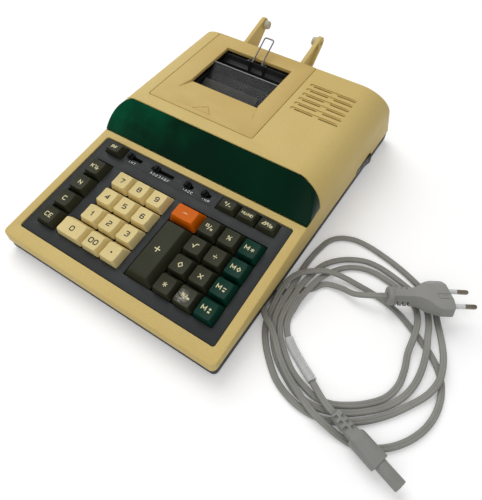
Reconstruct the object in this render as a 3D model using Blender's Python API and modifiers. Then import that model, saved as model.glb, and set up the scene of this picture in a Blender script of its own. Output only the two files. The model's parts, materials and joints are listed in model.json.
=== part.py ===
"""Desk calculating machine with a built-in printer, and the loose mains lead that lies beside it.

Metres, +Z up, X to the right along the front edge, Y towards the back. The origin is on the table,
under the middle of the machine. Heights are above the table. Distances called "run" are measured
back from the front edge of the case.
"""
import math

import bmesh
import bpy
from mathutils import Matrix, Vector

# Case
CASE_DEPTH = 0.3200
REACH_BEHIND = 0.0050
WALL = 0.0025
CASE_FOOT = 0.0115
FRONT_HEIGHT = 0.0216
KEYBOARD_SLOPE = math.radians(8.65)
WINDOW_FOOT_RUN = 0.1298
WINDOW_TOP_RUN = 0.1516
WINDOW_TOP_HEIGHT = 0.0716
ROOF_SLOPE = math.radians(2.87)
ROOF_REAR_RUN = 0.2790
HOUSING_RADIUS = 0.0289
HOUSING_STEPS = 8

# Running and seating clearances
SEAT_GAP = 0.0003
KEY_CLEARANCE = 0.0005
SHAFT_CLEARANCE = 0.0003

# Base pan
PAN_INSET = 0.0010
PAN_FLOOR = 0.0025
PAN_WALL = 0.0025
PAN_SIDE_DRAFT = 0.0040
PAN_END_DRAFT = 0.0010
FOOT_HEIGHT = 0.0030
FOOT_RADIUS = 0.0075
FOOT_INSET = 0.0220
POST_SIZE = 0.0080

# Keyboard panel and the plate that guides the key stems
PANEL_MARGIN = 0.0090
PANEL_BORDER = 0.0085
PANEL_FRONT = 0.0122
PANEL_REAR = 0.1247
PANEL_SUNK = 0.0010
PANEL_THICKNESS = 0.0020
GUIDE_DEPTH = 0.0053
GUIDE_THICKNESS = 0.0020
GUIDE_RIM = 0.0030
GUIDE_MARGIN = 0.0015
LEG_SIZE = 0.0070

# Keys
KEY_PITCH = 0.01905
ROW_PITCH = 0.0194
KEY_GAP = 0.00085
ROW_GAP = 0.0008
KEY_WIDTH = KEY_PITCH - KEY_GAP
KEY_DEPTH = ROW_PITCH - ROW_GAP
KEY_TOP_WIDTH = 0.0134
KEY_TOP_DEPTH = 0.0137
KEY_TOP_SHIFT = -0.0015
KEY_RISE = 0.0074
KEY_SKIRT = 0.0010
KEY_TRAVEL = 0.0035
KEY_CORNER = 0.0016
KEY_RIM = 0.0011
KEY_DISH = 0.0005
STEM_SIZE = 0.0050
STEM_REACH = 0.0020
BACK_ROW_RUN = 0.09104
TOP_ROW_RUN = 0.1168
TOP_ROW_DEPTH = 0.0122
TOP_ROW_RISE = 0.0044
TOP_ROW_TOP_DEPTH = 0.0083
FUNCTION_COLUMN = -0.0809
DIGIT_COLUMN = -0.0496
BAR_COLUMN = 0.0186
BAR_WIDTH = 0.0260
BLOCK_COLUMN = 0.0420
SIGN_COLUMN = 0.0412
ZERO_WIDTH = 0.0271
MINUS_EXTRA_RISE = 0.0014
PLUS_ROWS = 3

# Slide switches: left end of the slot, right end of the slot, resting place of the knob
SWITCH_RUN = 0.1176
SWITCH_PLACES = (
    ("slide_switch_1", -0.0685, -0.0525, -0.0647),
    ("slide_switch_2", -0.0409, -0.0167, -0.0350),
    ("slide_switch_3", -0.0052, 0.0044, -0.0010),
    ("slide_switch_4", 0.0135, 0.0230, 0.0172),
)
SLOT_DEPTH = 0.0030
KNOB_WIDTH = 0.0052
KNOB_DEPTH = 0.0046
KNOB_RISE = 0.0026
KNOB_NECK = 0.0040
KNOB_FOOT = 0.0012

# Display window
WINDOW_THICKNESS = 0.0030
DISPLAY_OPENING_WIDTH = 0.1600
DISPLAY_OPENING_LOW = 0.0480
DISPLAY_OPENING_HIGH = 0.0640

# Printer cover, in the roof's own run measured from the top of the window
COVER_LEFT = -0.0783
COVER_RIGHT = 0.0318
COVER_FRONT = 0.0129
COVER_THICKNESS = 0.0033
COVER_LEDGE = 0.0042
COVER_SLIDE = 0.0060
SEAT_THICKNESS = 0.0030
PAPER_LEFT = -0.0579
PAPER_RIGHT = 0.0145
PAPER_FRONT = 0.0505
PAPER_REAR = 0.1104
RAMP_LENGTH = 0.0165
RAMP_DEPTH = 0.0022

# Vents, in the roof's own run
VENT_LEFT = 0.0425
VENT_SLOT_LENGTH = 0.0180
VENT_SLOT_WIDTH = 0.0017
VENT_MIDDLE_GAP = 0.0060
VENT_FRONT = 0.0645
VENT_PITCH = 0.0074
VENT_ROWS = 6

# Printer
FRAME_LEFT = -0.0622
FRAME_RIGHT = 0.0192
FRAME_PLATE = 0.0020
FRAME_FRONT = 0.1920
FRAME_REAR = 0.2740
FRAME_LOW = 0.0160
FRAME_HIGH = 0.0655
FRAME_FLOOR = 0.0025
ROLLER_RUN = 0.2400
ROLLER_HEIGHT = 0.0500
ROLLER_RADIUS = 0.0090
DRUM_RUN = 0.2180
DRUM_HEIGHT = 0.0350
DRUM_RADIUS = 0.0075
SHAFT_RADIUS = 0.0020
SHAFT_REACH = 0.0015
GUIDE_FRONT_RUN = 0.1990
GUIDE_FRONT_HEIGHT = 0.0620
GUIDE_REAR_RUN = 0.2280
GUIDE_REAR_HEIGHT = 0.0480
GUIDE_PLATE = 0.0020
BACK_PLATE_RUN = 0.2550
BACK_PLATE_THICKNESS = 0.0025
TEAR_TOP_RUN = 0.2395
TEAR_TOP_HEIGHT = 0.0744
TEAR_FOOT_RUN = 0.2130
TEAR_FOOT_HEIGHT = 0.0600
TEAR_THICKNESS = 0.0020
TEAR_EAR = 0.0070
TEAR_SIDE_GAP = 0.0006

# Paper bail
BAIL_LEFT = -0.0256
BAIL_RIGHT = -0.0156
BAIL_RUN = 0.2565
BAIL_HEIGHT = 0.0752
BAIL_LENGTH = 0.0265
BAIL_LEAN = math.radians(34.0)
BAIL_WIRE = 0.0007
BAIL_BEND = 0.0018
BAIL_PIVOT = 0.0036
EAR_THICKNESS = 0.0022
EAR_RADIUS = 0.0021

# Paper arms and the pegs that carry the roll
ARM_THICKNESS = 0.0045
ARM_WEB = 0.0015
ARM_RIM = 0.0016
ARM_LEFT_OUTER = -0.0540
ARM_RIGHT_OUTER = 0.0162
ARM_ROOT_HIGH = 0.0735
ARM_ROOT_LOW = 0.0500
ARM_TIP_RUN = 0.3190
ARM_TIP_HEIGHT = 0.0790
ARM_TIP_RADIUS = 0.0060
PEG_RADIUS = 0.0044
PEG_LENGTH = 0.0050
PEG_PIN_RADIUS = 0.0018

# Power switch and mains inlet
ROCKER_RUN = 0.2530
ROCKER_LENGTH = 0.0294
ROCKER_LOW = 0.0080
ROCKER_HIGH = 0.0192
ROCKER_DEPTH = 0.0060
ROCKER_SWING = math.radians(11.5)
ROCKER_RAISED = 0.0030
ROCKER_FRONT_GAP = 0.0005
ROCKER_REAR_GAP = 0.0019
INLET_FROM_SIDE = 0.0325
INLET_WIDTH = 0.0260
INLET_HEIGHT = 0.0300
INLET_INSET = 0.0090
INLET_DEPTH = 0.0200
INLET_SOCKET_WIDTH = 0.0160
INLET_SOCKET_HEIGHT = 0.0080
INLET_SOCKET_DEPTH = 0.0120
INLET_PIN_RADIUS = 0.0012
INLET_PIN_SPREAD = 0.0086

# Inside
BOARD_WIDTH = 0.2000
BOARD_FRONT = 0.1360
BOARD_FRAME_GAP = 0.0080
BOARD_HEIGHT = 0.0120
BOARD_THICKNESS = 0.0016
TUBE_LEFT = -0.0620
TUBE_RIGHT = 0.0520
TUBE_RUN = 0.1550
TUBE_THICKNESS = 0.0070
TUBE_LOW = 0.0480
TUBE_HIGH = 0.0630
TRANSFORMER_MIDDLE = 0.0680
TRANSFORMER_WIDTH = 0.0480
WINDING_BOARD_GAP = 0.0050
TRANSFORMER_DEPTH = 0.0400
TRANSFORMER_HEIGHT = 0.0400
WINDING_WIDTH = 0.0300
WINDING_DEPTH = 0.0520
WINDING_MARGIN = 0.0070

# Mains lead: a round tube stands for the flat two-core cord
CORD_RADIUS = 0.0022
CORD_STEP = 0.0120
CORD_JOINT_GAP = 0.0003
CORD_LEAST_GAP = 0.0004
CORD_STRAIGHT = 0.0050

# Plug: its collar's rear face, heading, roll and sizes along its own axis
PLUG_PLACE = (0.1843, -0.0353, 0.0130)
PLUG_HEADING = math.radians(30.4)
PLUG_PITCH = math.radians(0.7)
PLUG_ROLL = math.radians(-10.0)
PLUG_LENGTH = 0.0475
PLUG_COLLAR = 0.0040
PLUG_COLLAR_RADIUS = 0.0074
PLUG_NECK = 0.0053
PLUG_NECK_LENGTH = 0.0220
PLUG_SHOULDER = 0.0390
PLUG_WIDTH = 0.0353
PLUG_THICKNESS = 0.0137
PLUG_EDGE_THICKNESS = 0.0068
PLUG_CORNER = 0.0022
PLUG_FLAT_WIDTH = 0.0186
PLUG_SLOT = 0.0013
PLUG_SLOT_PITCH = 0.0040
PLUG_SLOT_DEPTH = 0.0022
PIN_LENGTH = 0.0190
PIN_RADIUS = 0.0020
PIN_SPREAD = 0.0186
PIN_SPREAD_AT_TIPS = 0.0176

# Connector: the rear face of its strain relief, heading and sizes along its own axis
CONNECTOR_PLACE = (0.1906, -0.1397, 0.0097)
CONNECTOR_HEADING = math.radians(-18.1)
RELIEF_LENGTH = 0.0180
RELIEF_WIDTH = 0.0072
RELIEF_WIDTH_AT_BODY = 0.0094
RELIEF_THICKNESS = 0.0074
RELIEF_NOTCH = 0.0022
RELIEF_NOTCH_DEPTH = 0.0014
RELIEF_NOTCH_PITCH = 0.0045
CONNECTOR_SHOULDER = 0.0240
CONNECTOR_BODY_END = 0.0400
CONNECTOR_LENGTH = 0.0570
CONNECTOR_WIDTH = 0.0165
CONNECTOR_THICKNESS = 0.0092
NOSE_WIDTH = 0.0150
NOSE_THICKNESS = 0.0078
NOSE_HOLE_RADIUS = 0.0015
NOSE_HOLE_DEPTH = 0.0110

# The lead's route between its two ends, from the connector to the plug
CORD_ROUTE = (
    (0.1790, -0.1345, 0.0080), (0.1680, -0.1265, 0.0050), (0.1545, -0.1180, 0.0024), (0.1420, -0.1100, 0.0024),
    (0.1330, -0.1015, 0.0024), (0.1280, -0.0920, 0.0028), (0.1275, -0.0825, 0.0048), (0.1275, -0.0720, 0.0070),
    (0.1290, -0.0600, 0.0075), (0.1320, -0.0445, 0.0060), (0.1375, -0.0310, 0.0032), (0.1450, -0.0210, 0.0024),
    (0.1545, -0.0150, 0.0024), (0.1645, -0.0125, 0.0024), (0.1765, -0.0130, 0.0024), (0.1880, -0.0155, 0.0024),
    (0.1995, -0.0190, 0.0024), (0.2090, -0.0270, 0.0036), (0.2140, -0.0395, 0.0070), (0.2160, -0.0535, 0.0074),
    (0.2170, -0.0660, 0.0046), (0.2200, -0.0800, 0.0024), (0.2205, -0.0940, 0.0024), (0.2165, -0.1065, 0.0024),
    (0.2080, -0.1170, 0.0024), (0.1970, -0.1260, 0.0024), (0.1850, -0.1325, 0.0024), (0.1735, -0.1340, 0.0024),
    (0.1620, -0.1310, 0.0024), (0.1510, -0.1260, 0.0024), (0.1390, -0.1165, 0.0024), (0.1290, -0.1060, 0.0024),
    (0.1230, -0.0930, 0.0028), (0.1220, -0.0825, 0.0048), (0.1220, -0.0730, 0.0075), (0.1225, -0.0595, 0.0073),
    (0.1240, -0.0450, 0.0046), (0.1280, -0.0295, 0.0032), (0.1360, -0.0180, 0.0024), (0.1455, -0.0105, 0.0024),
    (0.1565, -0.0055, 0.0024), (0.1680, -0.0045, 0.0024), (0.1810, -0.0065, 0.0024), (0.1925, -0.0095, 0.0024),
    (0.2045, -0.0135, 0.0024), (0.2155, -0.0215, 0.0036), (0.2215, -0.0340, 0.0060), (0.2250, -0.0475, 0.0072),
    (0.2280, -0.0585, 0.0072), (0.2305, -0.0735, 0.0038), (0.2300, -0.0875, 0.0024), (0.2260, -0.1010, 0.0024),
    (0.2190, -0.1125, 0.0024), (0.2090, -0.1230, 0.0024), (0.1972, -0.1324, 0.0024), (0.1856, -0.1380, 0.0024),
    (0.1730, -0.1405, 0.0024), (0.1610, -0.1385, 0.0024), (0.1485, -0.1320, 0.0024), (0.1365, -0.1235, 0.0024),
    (0.1265, -0.1115, 0.0024), (0.1187, -0.0962, 0.0025), (0.1165, -0.0835, 0.0048), (0.1170, -0.0740, 0.0080),
    (0.1165, -0.0625, 0.0064), (0.1155, -0.0510, 0.0044), (0.1150, -0.0385, 0.0034), (0.1155, -0.0265, 0.0024),
    (0.1170, -0.0155, 0.0024), (0.1200, -0.0035, 0.0024), (0.1265, 0.0050, 0.0024), (0.1380, 0.0105, 0.0024),
    (0.1510, 0.0110, 0.0024), (0.1665, 0.0085, 0.0024), (0.1820, 0.0045, 0.0024), (0.1960, -0.0005, 0.0024),
    (0.2100, -0.0075, 0.0024), (0.2210, -0.0175, 0.0030), (0.2285, -0.0315, 0.0046), (0.2350, -0.0445, 0.0066),
    (0.2400, -0.0560, 0.0072), (0.2425, -0.0655, 0.0074), (0.2435, -0.0755, 0.0075), (0.2410, -0.0875, 0.0038),
    (0.2330, -0.1020, 0.0024), (0.2230, -0.1165, 0.0024), (0.2123, -0.1282, 0.0024), (0.2002, -0.1376, 0.0024),
    (0.1860, -0.1448, 0.0024), (0.1715, -0.1465, 0.0024), (0.1590, -0.1445, 0.0024), (0.1450, -0.1385, 0.0024),
    (0.1330, -0.1285, 0.0024), (0.1225, -0.1165, 0.0024), (0.1150, -0.1030, 0.0024), (0.1124, -0.0905, 0.0027),
    (0.1115, -0.0825, 0.0058), (0.1110, -0.0745, 0.0078), (0.1117, -0.0635, 0.0099), (0.1160, -0.0530, 0.0108),
    (0.1240, -0.0445, 0.0104), (0.1345, -0.0375, 0.0101), (0.1465, -0.0335, 0.0066), (0.1600, -0.0320, 0.0036),
    (0.1735, -0.0320, 0.0024), (0.1865, -0.0340, 0.0024), (0.1995, -0.0380, 0.0024), (0.2120, -0.0445, 0.0024),
    (0.2225, -0.0510, 0.0024), (0.2315, -0.0570, 0.0024), (0.2395, -0.0645, 0.0024), (0.2450, -0.0725, 0.0024),
    (0.2490, -0.0840, 0.0024), (0.2500, -0.0975, 0.0024), (0.2475, -0.1110, 0.0024), (0.2415, -0.1240, 0.0024),
    (0.2330, -0.1350, 0.0024), (0.2230, -0.1430, 0.0024), (0.2130, -0.1480, 0.0024), (0.2015, -0.1490, 0.0030),
    (0.1905, -0.1483, 0.0062), (0.1800, -0.1465, 0.0076), (0.1695, -0.1425, 0.0074), (0.1595, -0.1375, 0.0074),
    (0.1490, -0.1315, 0.0074), (0.1380, -0.1230, 0.0074), (0.1285, -0.1130, 0.0074), (0.1200, -0.1055, 0.0074),
    (0.1120, -0.1005, 0.0075), (0.1077, -0.0942, 0.0064), (0.1065, -0.0860, 0.0032), (0.1070, -0.0790, 0.0024),
    (0.1105, -0.0735, 0.0024), (0.1160, -0.0685, 0.0024), (0.1230, -0.0630, 0.0024), (0.1305, -0.0560, 0.0024),
    (0.1375, -0.0460, 0.0024), (0.1500, -0.0430, 0.0046), (0.1620, -0.0445, 0.0088), (0.1715, -0.0422, 0.0122),
)

# Colours, roughness and metallic value of each material
BEIGE = ("beige_shell", (0.60, 0.48, 0.19), 0.55, 0.0)
TAN = ("tan_cover", (0.56, 0.41, 0.15), 0.55, 0.0)
PAN_GREY = ("dark_base", (0.05, 0.05, 0.055), 0.60, 0.0)
PANEL_GREY = ("panel_grey", (0.045, 0.048, 0.050), 0.55, 0.0)
IVORY = ("ivory_key", (0.78, 0.64, 0.30), 0.45, 0.0)
OLIVE = ("olive_key", (0.062, 0.062, 0.036), 0.45, 0.0)
ORANGE = ("orange_key", (0.75, 0.11, 0.005), 0.45, 0.0)
GREEN = ("green_key", (0.012, 0.070, 0.048), 0.45, 0.0)
BLACK = ("black_plastic", (0.012, 0.012, 0.013), 0.45, 0.0)
WINDOW_GREEN = ("window_green", (0.001, 0.017, 0.007), 0.12, 0.0)
CLEAR = ("clear_plastic", (0.35, 0.36, 0.38), 0.15, 0.0)
STEEL = ("steel", (0.55, 0.55, 0.56), 0.30, 1.0)
RUBBER = ("rubber", (0.020, 0.020, 0.022), 0.80, 0.0)
OFF_WHITE = ("off_white", (0.58, 0.54, 0.40), 0.50, 0.0)
CORD_GREY = ("cord_grey", (0.22, 0.22, 0.20), 0.50, 0.0)
PLUG_GREY = ("plug_grey", (0.23, 0.23, 0.215), 0.50, 0.0)
BOARD_GREEN = ("board_green", (0.020, 0.110, 0.040), 0.60, 0.0)
CORE_GREY = ("core_steel", (0.20, 0.20, 0.21), 0.50, 0.8)

# Worked out from the values above
PANEL_WIDTH = 2.0 * (KEY_WIDTH / 2.0 - FUNCTION_COLUMN + PANEL_MARGIN)
CASE_WIDTH = PANEL_WIDTH + 2.0 * PANEL_BORDER
HALF_WIDTH = CASE_WIDTH / 2.0
FRONT_Y = -(CASE_DEPTH + REACH_BEHIND) / 2.0
WINDOW_FOOT_HEIGHT = FRONT_HEIGHT + WINDOW_FOOT_RUN * math.tan(KEYBOARD_SLOPE)
WINDOW_BACK_HEIGHT = FRONT_HEIGHT + WINDOW_TOP_RUN * math.tan(KEYBOARD_SLOPE)
ROOF_REAR_HEIGHT = WINDOW_TOP_HEIGHT + (ROOF_REAR_RUN - WINDOW_TOP_RUN) * math.tan(ROOF_SLOPE)
REAR_TAN = (CASE_DEPTH - ROOF_REAR_RUN) / (ROOF_REAR_HEIGHT - CASE_FOOT)
PAN_TOP = CASE_FOOT - SEAT_GAP
PAN_FLOOR_TOP = FOOT_HEIGHT + PAN_FLOOR
ROOF_LENGTH = (ROOF_REAR_RUN - WINDOW_TOP_RUN) / math.cos(ROOF_SLOPE)
ROCKER_SWEEP = ROCKER_LENGTH / 2.0 * math.sin(ROCKER_SWING)
INLET_MIDDLE = HALF_WIDTH - INLET_FROM_SIDE
INLET_FACE_RUN = CASE_DEPTH - INLET_INSET
BOARD_REAR = FRAME_FRONT - BOARD_FRAME_GAP
TRANSFORMER_RUN = BOARD_REAR + WINDING_BOARD_GAP + WINDING_DEPTH / 2.0
BEYOND = 0.0500

# Places on a curve object or a flat outline that lies in the YZ plane or in the XZ plane
SIDE_VIEW = Matrix(((0, 0, 1, 0), (1, 0, 0, 0), (0, 1, 0, 0), (0, 0, 0, 1)))
FRONT_VIEW = Matrix(((1, 0, 0, 0), (0, 0, -1, 0), (0, 1, 0, 0), (0, 0, 0, 1)))


def rear_run(height):
    """Run of the leaning rear face's outer side at a height."""
    return ROOF_REAR_RUN + (ROOF_REAR_HEIGHT - height) * REAR_TAN


def clear_scene():
    """Remove whatever the file starts with."""
    for old in list(bpy.data.objects):
        bpy.data.objects.remove(old, do_unlink=True)


clear_scene()
PARTS = bpy.data.collections.new("calculating_machine")
CUTTERS = bpy.data.collections.new("cutters")
bpy.context.scene.collection.children.link(PARTS)
bpy.context.scene.collection.children.link(CUTTERS)


def make_material(spec):
    """A Principled material from name, base colour, roughness and metallic value."""
    name, colour, roughness, metallic = spec
    found = bpy.data.materials.get(name)
    if found:
        return found
    made = bpy.data.materials.new(name)
    made.use_nodes = True
    shader = made.node_tree.nodes["Principled BSDF"]
    shader.inputs["Base Color"].default_value = (*colour, 1.0)
    shader.inputs["Roughness"].default_value = roughness
    shader.inputs["Metallic"].default_value = metallic
    made.diffuse_color = (*colour, 1.0)
    return made


def make_frame(name, matrix):
    """An empty that gives a tilted part of the machine its own axes."""
    empty = bpy.data.objects.new(name, None)
    PARTS.objects.link(empty)
    empty.matrix_world = matrix
    return empty


KEYBOARD = make_frame(
    "keyboard_axes",
    Matrix.Translation((0.0, FRONT_Y, FRONT_HEIGHT)) @ Matrix.Rotation(KEYBOARD_SLOPE, 4, "X"),
)
ROOF = make_frame(
    "roof_axes",
    Matrix.Translation((0.0, FRONT_Y + WINDOW_TOP_RUN, WINDOW_TOP_HEIGHT)) @ Matrix.Rotation(ROOF_SLOPE, 4, "X"),
)
MACHINE = make_frame("machine_axes", Matrix.Translation((0.0, FRONT_Y, 0.0)))


def add_object(name, mesh, frame, spec=None, matrix=None):
    """Link a mesh as a part with its material, or as a cutter where it has none."""
    made = bpy.data.objects.new(name, mesh)
    made.parent = frame
    made.matrix_parent_inverse = Matrix.Identity(4)
    if matrix is not None:
        made.matrix_local = matrix
    if spec is None:
        CUTTERS.objects.link(made)
        made.hide_render = True
        made.display_type = "WIRE"
    else:
        PARTS.objects.link(made)
        mesh.materials.clear()
        mesh.materials.append(make_material(spec))
    return made


def hang(piece, pivot_name, x, run, height):
    """Put a moving piece under an empty that stands on its joint's axis, without moving the piece."""
    pivot = bpy.data.objects.new(pivot_name, None)
    PARTS.objects.link(pivot)
    pivot.parent = MACHINE
    pivot.matrix_parent_inverse = Matrix.Identity(4)
    pivot.location = (x, run, height)
    place = piece.matrix_basis.copy()
    piece.parent = pivot
    piece.matrix_parent_inverse = Matrix.Identity(4)
    piece.matrix_basis = Matrix.Translation((-x, -run, -height)) @ place
    return piece


def mesh_from(bm, name):
    """Turn a bmesh into a mesh with its faces outward."""
    bmesh.ops.recalc_face_normals(bm, faces=bm.faces)
    mesh = bpy.data.meshes.new(name)
    bm.to_mesh(mesh)
    bm.free()
    return mesh


def box(name, low, high, frame, spec=None, edge=0.0):
    """A box between two corners, with its edges bevelled where edge is given."""
    low, high = Vector(low), Vector(high)
    bm = bmesh.new()
    bmesh.ops.create_cube(bm, size=1.0)
    bmesh.ops.scale(bm, vec=high - low, verts=bm.verts)
    bmesh.ops.translate(bm, vec=(low + high) / 2.0, verts=bm.verts)
    made = add_object(name, mesh_from(bm, name), frame, spec)
    if edge:
        add_bevel(made, edge)
    return made


def tray(name, low, high, draft, frame, spec=None):
    """A box that is narrower at its foot by a draft on each side and on each end."""
    low, high = Vector(low), Vector(high)
    bm = bmesh.new()
    bmesh.ops.create_cube(bm, size=1.0)
    bmesh.ops.scale(bm, vec=high - low, verts=bm.verts)
    for vert in bm.verts:
        if vert.co.z < 0.0:
            vert.co.x -= math.copysign(draft[0], vert.co.x)
            vert.co.y -= math.copysign(draft[1], vert.co.y)
    bmesh.ops.translate(bm, vec=(low + high) / 2.0, verts=bm.verts)
    return add_object(name, mesh_from(bm, name), frame, spec)


def rod(name, radius, start, end, frame, spec=None, sides=24, end_radius=None):
    """A cylinder or cone between two points."""
    start, end = Vector(start), Vector(end)
    along = end - start
    bm = bmesh.new()
    bmesh.ops.create_cone(
        bm,
        cap_ends=True,
        segments=sides,
        radius1=radius,
        radius2=radius if end_radius is None else end_radius,
        depth=along.length,
    )
    turn = along.to_track_quat("Z", "Y").to_matrix().to_4x4()
    bmesh.ops.transform(bm, matrix=Matrix.Translation((start + end) / 2.0) @ turn, verts=bm.verts)
    made = add_object(name, mesh_from(bm, name), frame, spec)
    made.data.shade_smooth()
    made.data.set_sharp_from_angle(angle=math.radians(40))
    return made


def curve_mesh(curve, name, spec, frame, matrix):
    """The plain closed mesh of a curve object, with its caps welded."""
    guide = bpy.data.objects.new(name + "_curve", curve)
    bpy.context.scene.collection.objects.link(guide)
    evaluated = guide.evaluated_get(bpy.context.evaluated_depsgraph_get())
    mesh = bpy.data.meshes.new_from_object(evaluated)
    bpy.data.objects.remove(guide, do_unlink=True)
    bm = bmesh.new()
    bm.from_mesh(mesh)
    bmesh.ops.remove_doubles(bm, verts=bm.verts, dist=0.000001)
    bpy.data.meshes.remove(mesh)
    return add_object(name, mesh_from(bm, name), frame, spec, matrix)


def outline(name, points, low, high, view, frame, spec=None):
    """A flat outline given thickness from low to high along its view's own third axis."""
    curve = bpy.data.curves.new(name, "CURVE")
    curve.dimensions = "2D"
    curve.fill_mode = "BOTH"
    curve.extrude = (high - low) / 2.0
    spline = curve.splines.new("POLY")
    spline.points.add(len(points) - 1)
    for point, (across, up) in zip(spline.points, points):
        point.co = (across, up, 0.0, 1.0)
    spline.use_cyclic_u = True
    middle = Matrix.Translation((0.0, 0.0, (high + low) / 2.0))
    return curve_mesh(curve, name, spec, frame, view @ middle)


def wire(name, points, radius, frame, spec, matrix=None, roundness=2):
    """A round wire or cord along a line of points, with flat caps."""
    curve = bpy.data.curves.new(name, "CURVE")
    curve.dimensions = "3D"
    curve.bevel_depth = radius
    curve.bevel_resolution = roundness
    curve.use_fill_caps = True
    spline = curve.splines.new("POLY")
    spline.points.add(len(points) - 1)
    for point, place in zip(spline.points, points):
        point.co = (*place, 1.0)
    made = curve_mesh(curve, name, spec, frame, matrix)
    made.data.shade_smooth()
    made.data.set_sharp_from_angle(angle=math.radians(50))
    return made


def boolean(target, tool, operation="DIFFERENCE"):
    """Cut, join or keep what two closed shapes share."""
    step = target.modifiers.new(operation.lower(), "BOOLEAN")
    step.operation = operation
    step.object = tool
    step.solver = "EXACT"
    return target


def add_bevel(target, width, segments=1, angle=math.radians(40)):
    """Round the edges that are sharper than an angle."""
    step = target.modifiers.new("bevel", "BEVEL")
    step.width = width
    step.segments = segments
    step.limit_method = "ANGLE"
    step.angle_limit = angle
    return target


def arc(centre, radius, start, end, steps):
    """Points on an arc, angles in degrees."""
    points = []
    for step in range(steps + 1):
        angle = math.radians(start + (end - start) * step / steps)
        points.append((centre[0] + radius * math.cos(angle), centre[1] + radius * math.sin(angle)))
    return points


def inset_outline(points, distances):
    """Move each side of an anticlockwise outline inwards by its own distance."""
    count = len(points)
    sides = []
    for index in range(count):
        start, end = Vector(points[index]), Vector(points[(index + 1) % count])
        along = (end - start).normalized()
        inward = Vector((-along.y, along.x))
        sides.append((start + inward * distances[index], along))
    moved = []
    for index in range(count):
        (a, along_a), (b, along_b) = sides[index - 1], sides[index]
        cross = along_a.x * along_b.y - along_a.y * along_b.x
        reach = ((b.x - a.x) * along_b.y - (b.y - a.y) * along_b.x) / cross
        corner = a + along_a * reach
        moved.append((corner.x, corner.y))
    return moved


def roof_section(half_width, top, radius):
    """Front view of the housing with its rounded top edges, in the roof's axes."""
    low = -0.1500
    points = [(-half_width, low), (half_width, low)]
    points += arc((half_width - radius, top - radius), radius, 0, 90, HOUSING_STEPS)
    points += arc((-half_width + radius, top - radius), radius, 90, 180, HOUSING_STEPS)
    return points


def rounded_prism(name, half_width, top, radius):
    """The housing's rounded section, long enough to pass through the whole case."""
    section = roof_section(half_width, top, radius)
    return outline(name, section, -CASE_DEPTH, CASE_DEPTH, FRONT_VIEW, ROOF)


# Case
def side_outline():
    """Side view of the top case, anticlockwise from the rear foot."""
    return [
        (0.0, CASE_FOOT),
        (CASE_DEPTH, CASE_FOOT),
        (ROOF_REAR_RUN, ROOF_REAR_HEIGHT),
        (WINDOW_TOP_RUN, WINDOW_TOP_HEIGHT),
        (WINDOW_TOP_RUN, WINDOW_BACK_HEIGHT),
        (0.0, FRONT_HEIGHT),
    ]


def make_top_case():
    """The beige moulding: keyboard border, side walls and printer housing, open below."""
    outer = side_outline()
    case = outline("top_case", outer, -HALF_WIDTH, HALF_WIDTH, SIDE_VIEW, MACHINE, BEIGE)
    boolean(case, rounded_prism("case_section", HALF_WIDTH, 0.0, HOUSING_RADIUS), "INTERSECT")
    inner = inset_outline(outer, (-BEYOND, WALL, WALL, WALL, WALL, WALL))
    cavity = outline("case_cavity", inner, WALL - HALF_WIDTH, HALF_WIDTH - WALL, SIDE_VIEW, MACHINE)
    boolean(cavity, rounded_prism("cavity_section", HALF_WIDTH - WALL, -WALL, HOUSING_RADIUS - WALL), "INTERSECT")
    boolean(case, cavity)
    add_cover_seat(case)
    cut_panel_opening(case)
    cut_vents(case)
    cut_display_opening(case)
    cut_rocker_notch(case)
    cut_inlet_hole(case)
    return case


def add_cover_seat(case):
    """A thicker rim under the printer cover, the pocket that holds it and the opening inside."""
    seat_low = -COVER_THICKNESS - SEAT_GAP - SEAT_THICKNESS
    rim = box(
        "cover_rim",
        (COVER_LEFT - WALL, COVER_FRONT - WALL, seat_low),
        (COVER_RIGHT + WALL, ROOF_LENGTH - WALL, -WALL / 2.0),
        ROOF,
    )
    boolean(case, rim, "UNION")
    pocket = box(
        "cover_pocket",
        (COVER_LEFT - SEAT_GAP, COVER_FRONT - SEAT_GAP, -COVER_THICKNESS - SEAT_GAP),
        (COVER_RIGHT + SEAT_GAP, ROOF_LENGTH + BEYOND, BEYOND),
        ROOF,
    )
    boolean(case, pocket)
    opening = box(
        "printer_opening",
        (COVER_LEFT + COVER_LEDGE, COVER_FRONT + COVER_LEDGE, -BEYOND / 2.0),
        (COVER_RIGHT - COVER_LEDGE, ROOF_LENGTH - 2.0 * COVER_LEDGE, BEYOND),
        ROOF,
    )
    boolean(case, opening)


def cut_panel_opening(case):
    """The opening that the keyboard panel fills."""
    opening = box(
        "panel_opening",
        (-PANEL_WIDTH / 2.0 - SEAT_GAP, PANEL_FRONT - SEAT_GAP, -2.0 * WALL),
        (PANEL_WIDTH / 2.0 + SEAT_GAP, PANEL_REAR + SEAT_GAP, WALL),
        KEYBOARD,
    )
    boolean(case, opening)


def cut_vents(case):
    """Rows of two slots over the transformer."""
    for row in range(VENT_ROWS):
        for side in range(2):
            left = VENT_LEFT + side * (VENT_SLOT_LENGTH + VENT_MIDDLE_GAP)
            run = VENT_FRONT + row * VENT_PITCH
            slot = box(
                f"vent_{row}_{side}",
                (left, run, -2.0 * WALL),
                (left + VENT_SLOT_LENGTH, run + VENT_SLOT_WIDTH, WALL),
                ROOF,
            )
            boolean(case, slot)


def cut_display_opening(case):
    """The opening behind the window, in front of the display tube."""
    opening = box(
        "display_opening",
        (-DISPLAY_OPENING_WIDTH / 2.0, WINDOW_TOP_RUN - WALL, DISPLAY_OPENING_LOW),
        (DISPLAY_OPENING_WIDTH / 2.0, WINDOW_TOP_RUN + 2.0 * WALL, DISPLAY_OPENING_HIGH),
        MACHINE,
    )
    boolean(case, opening)


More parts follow.
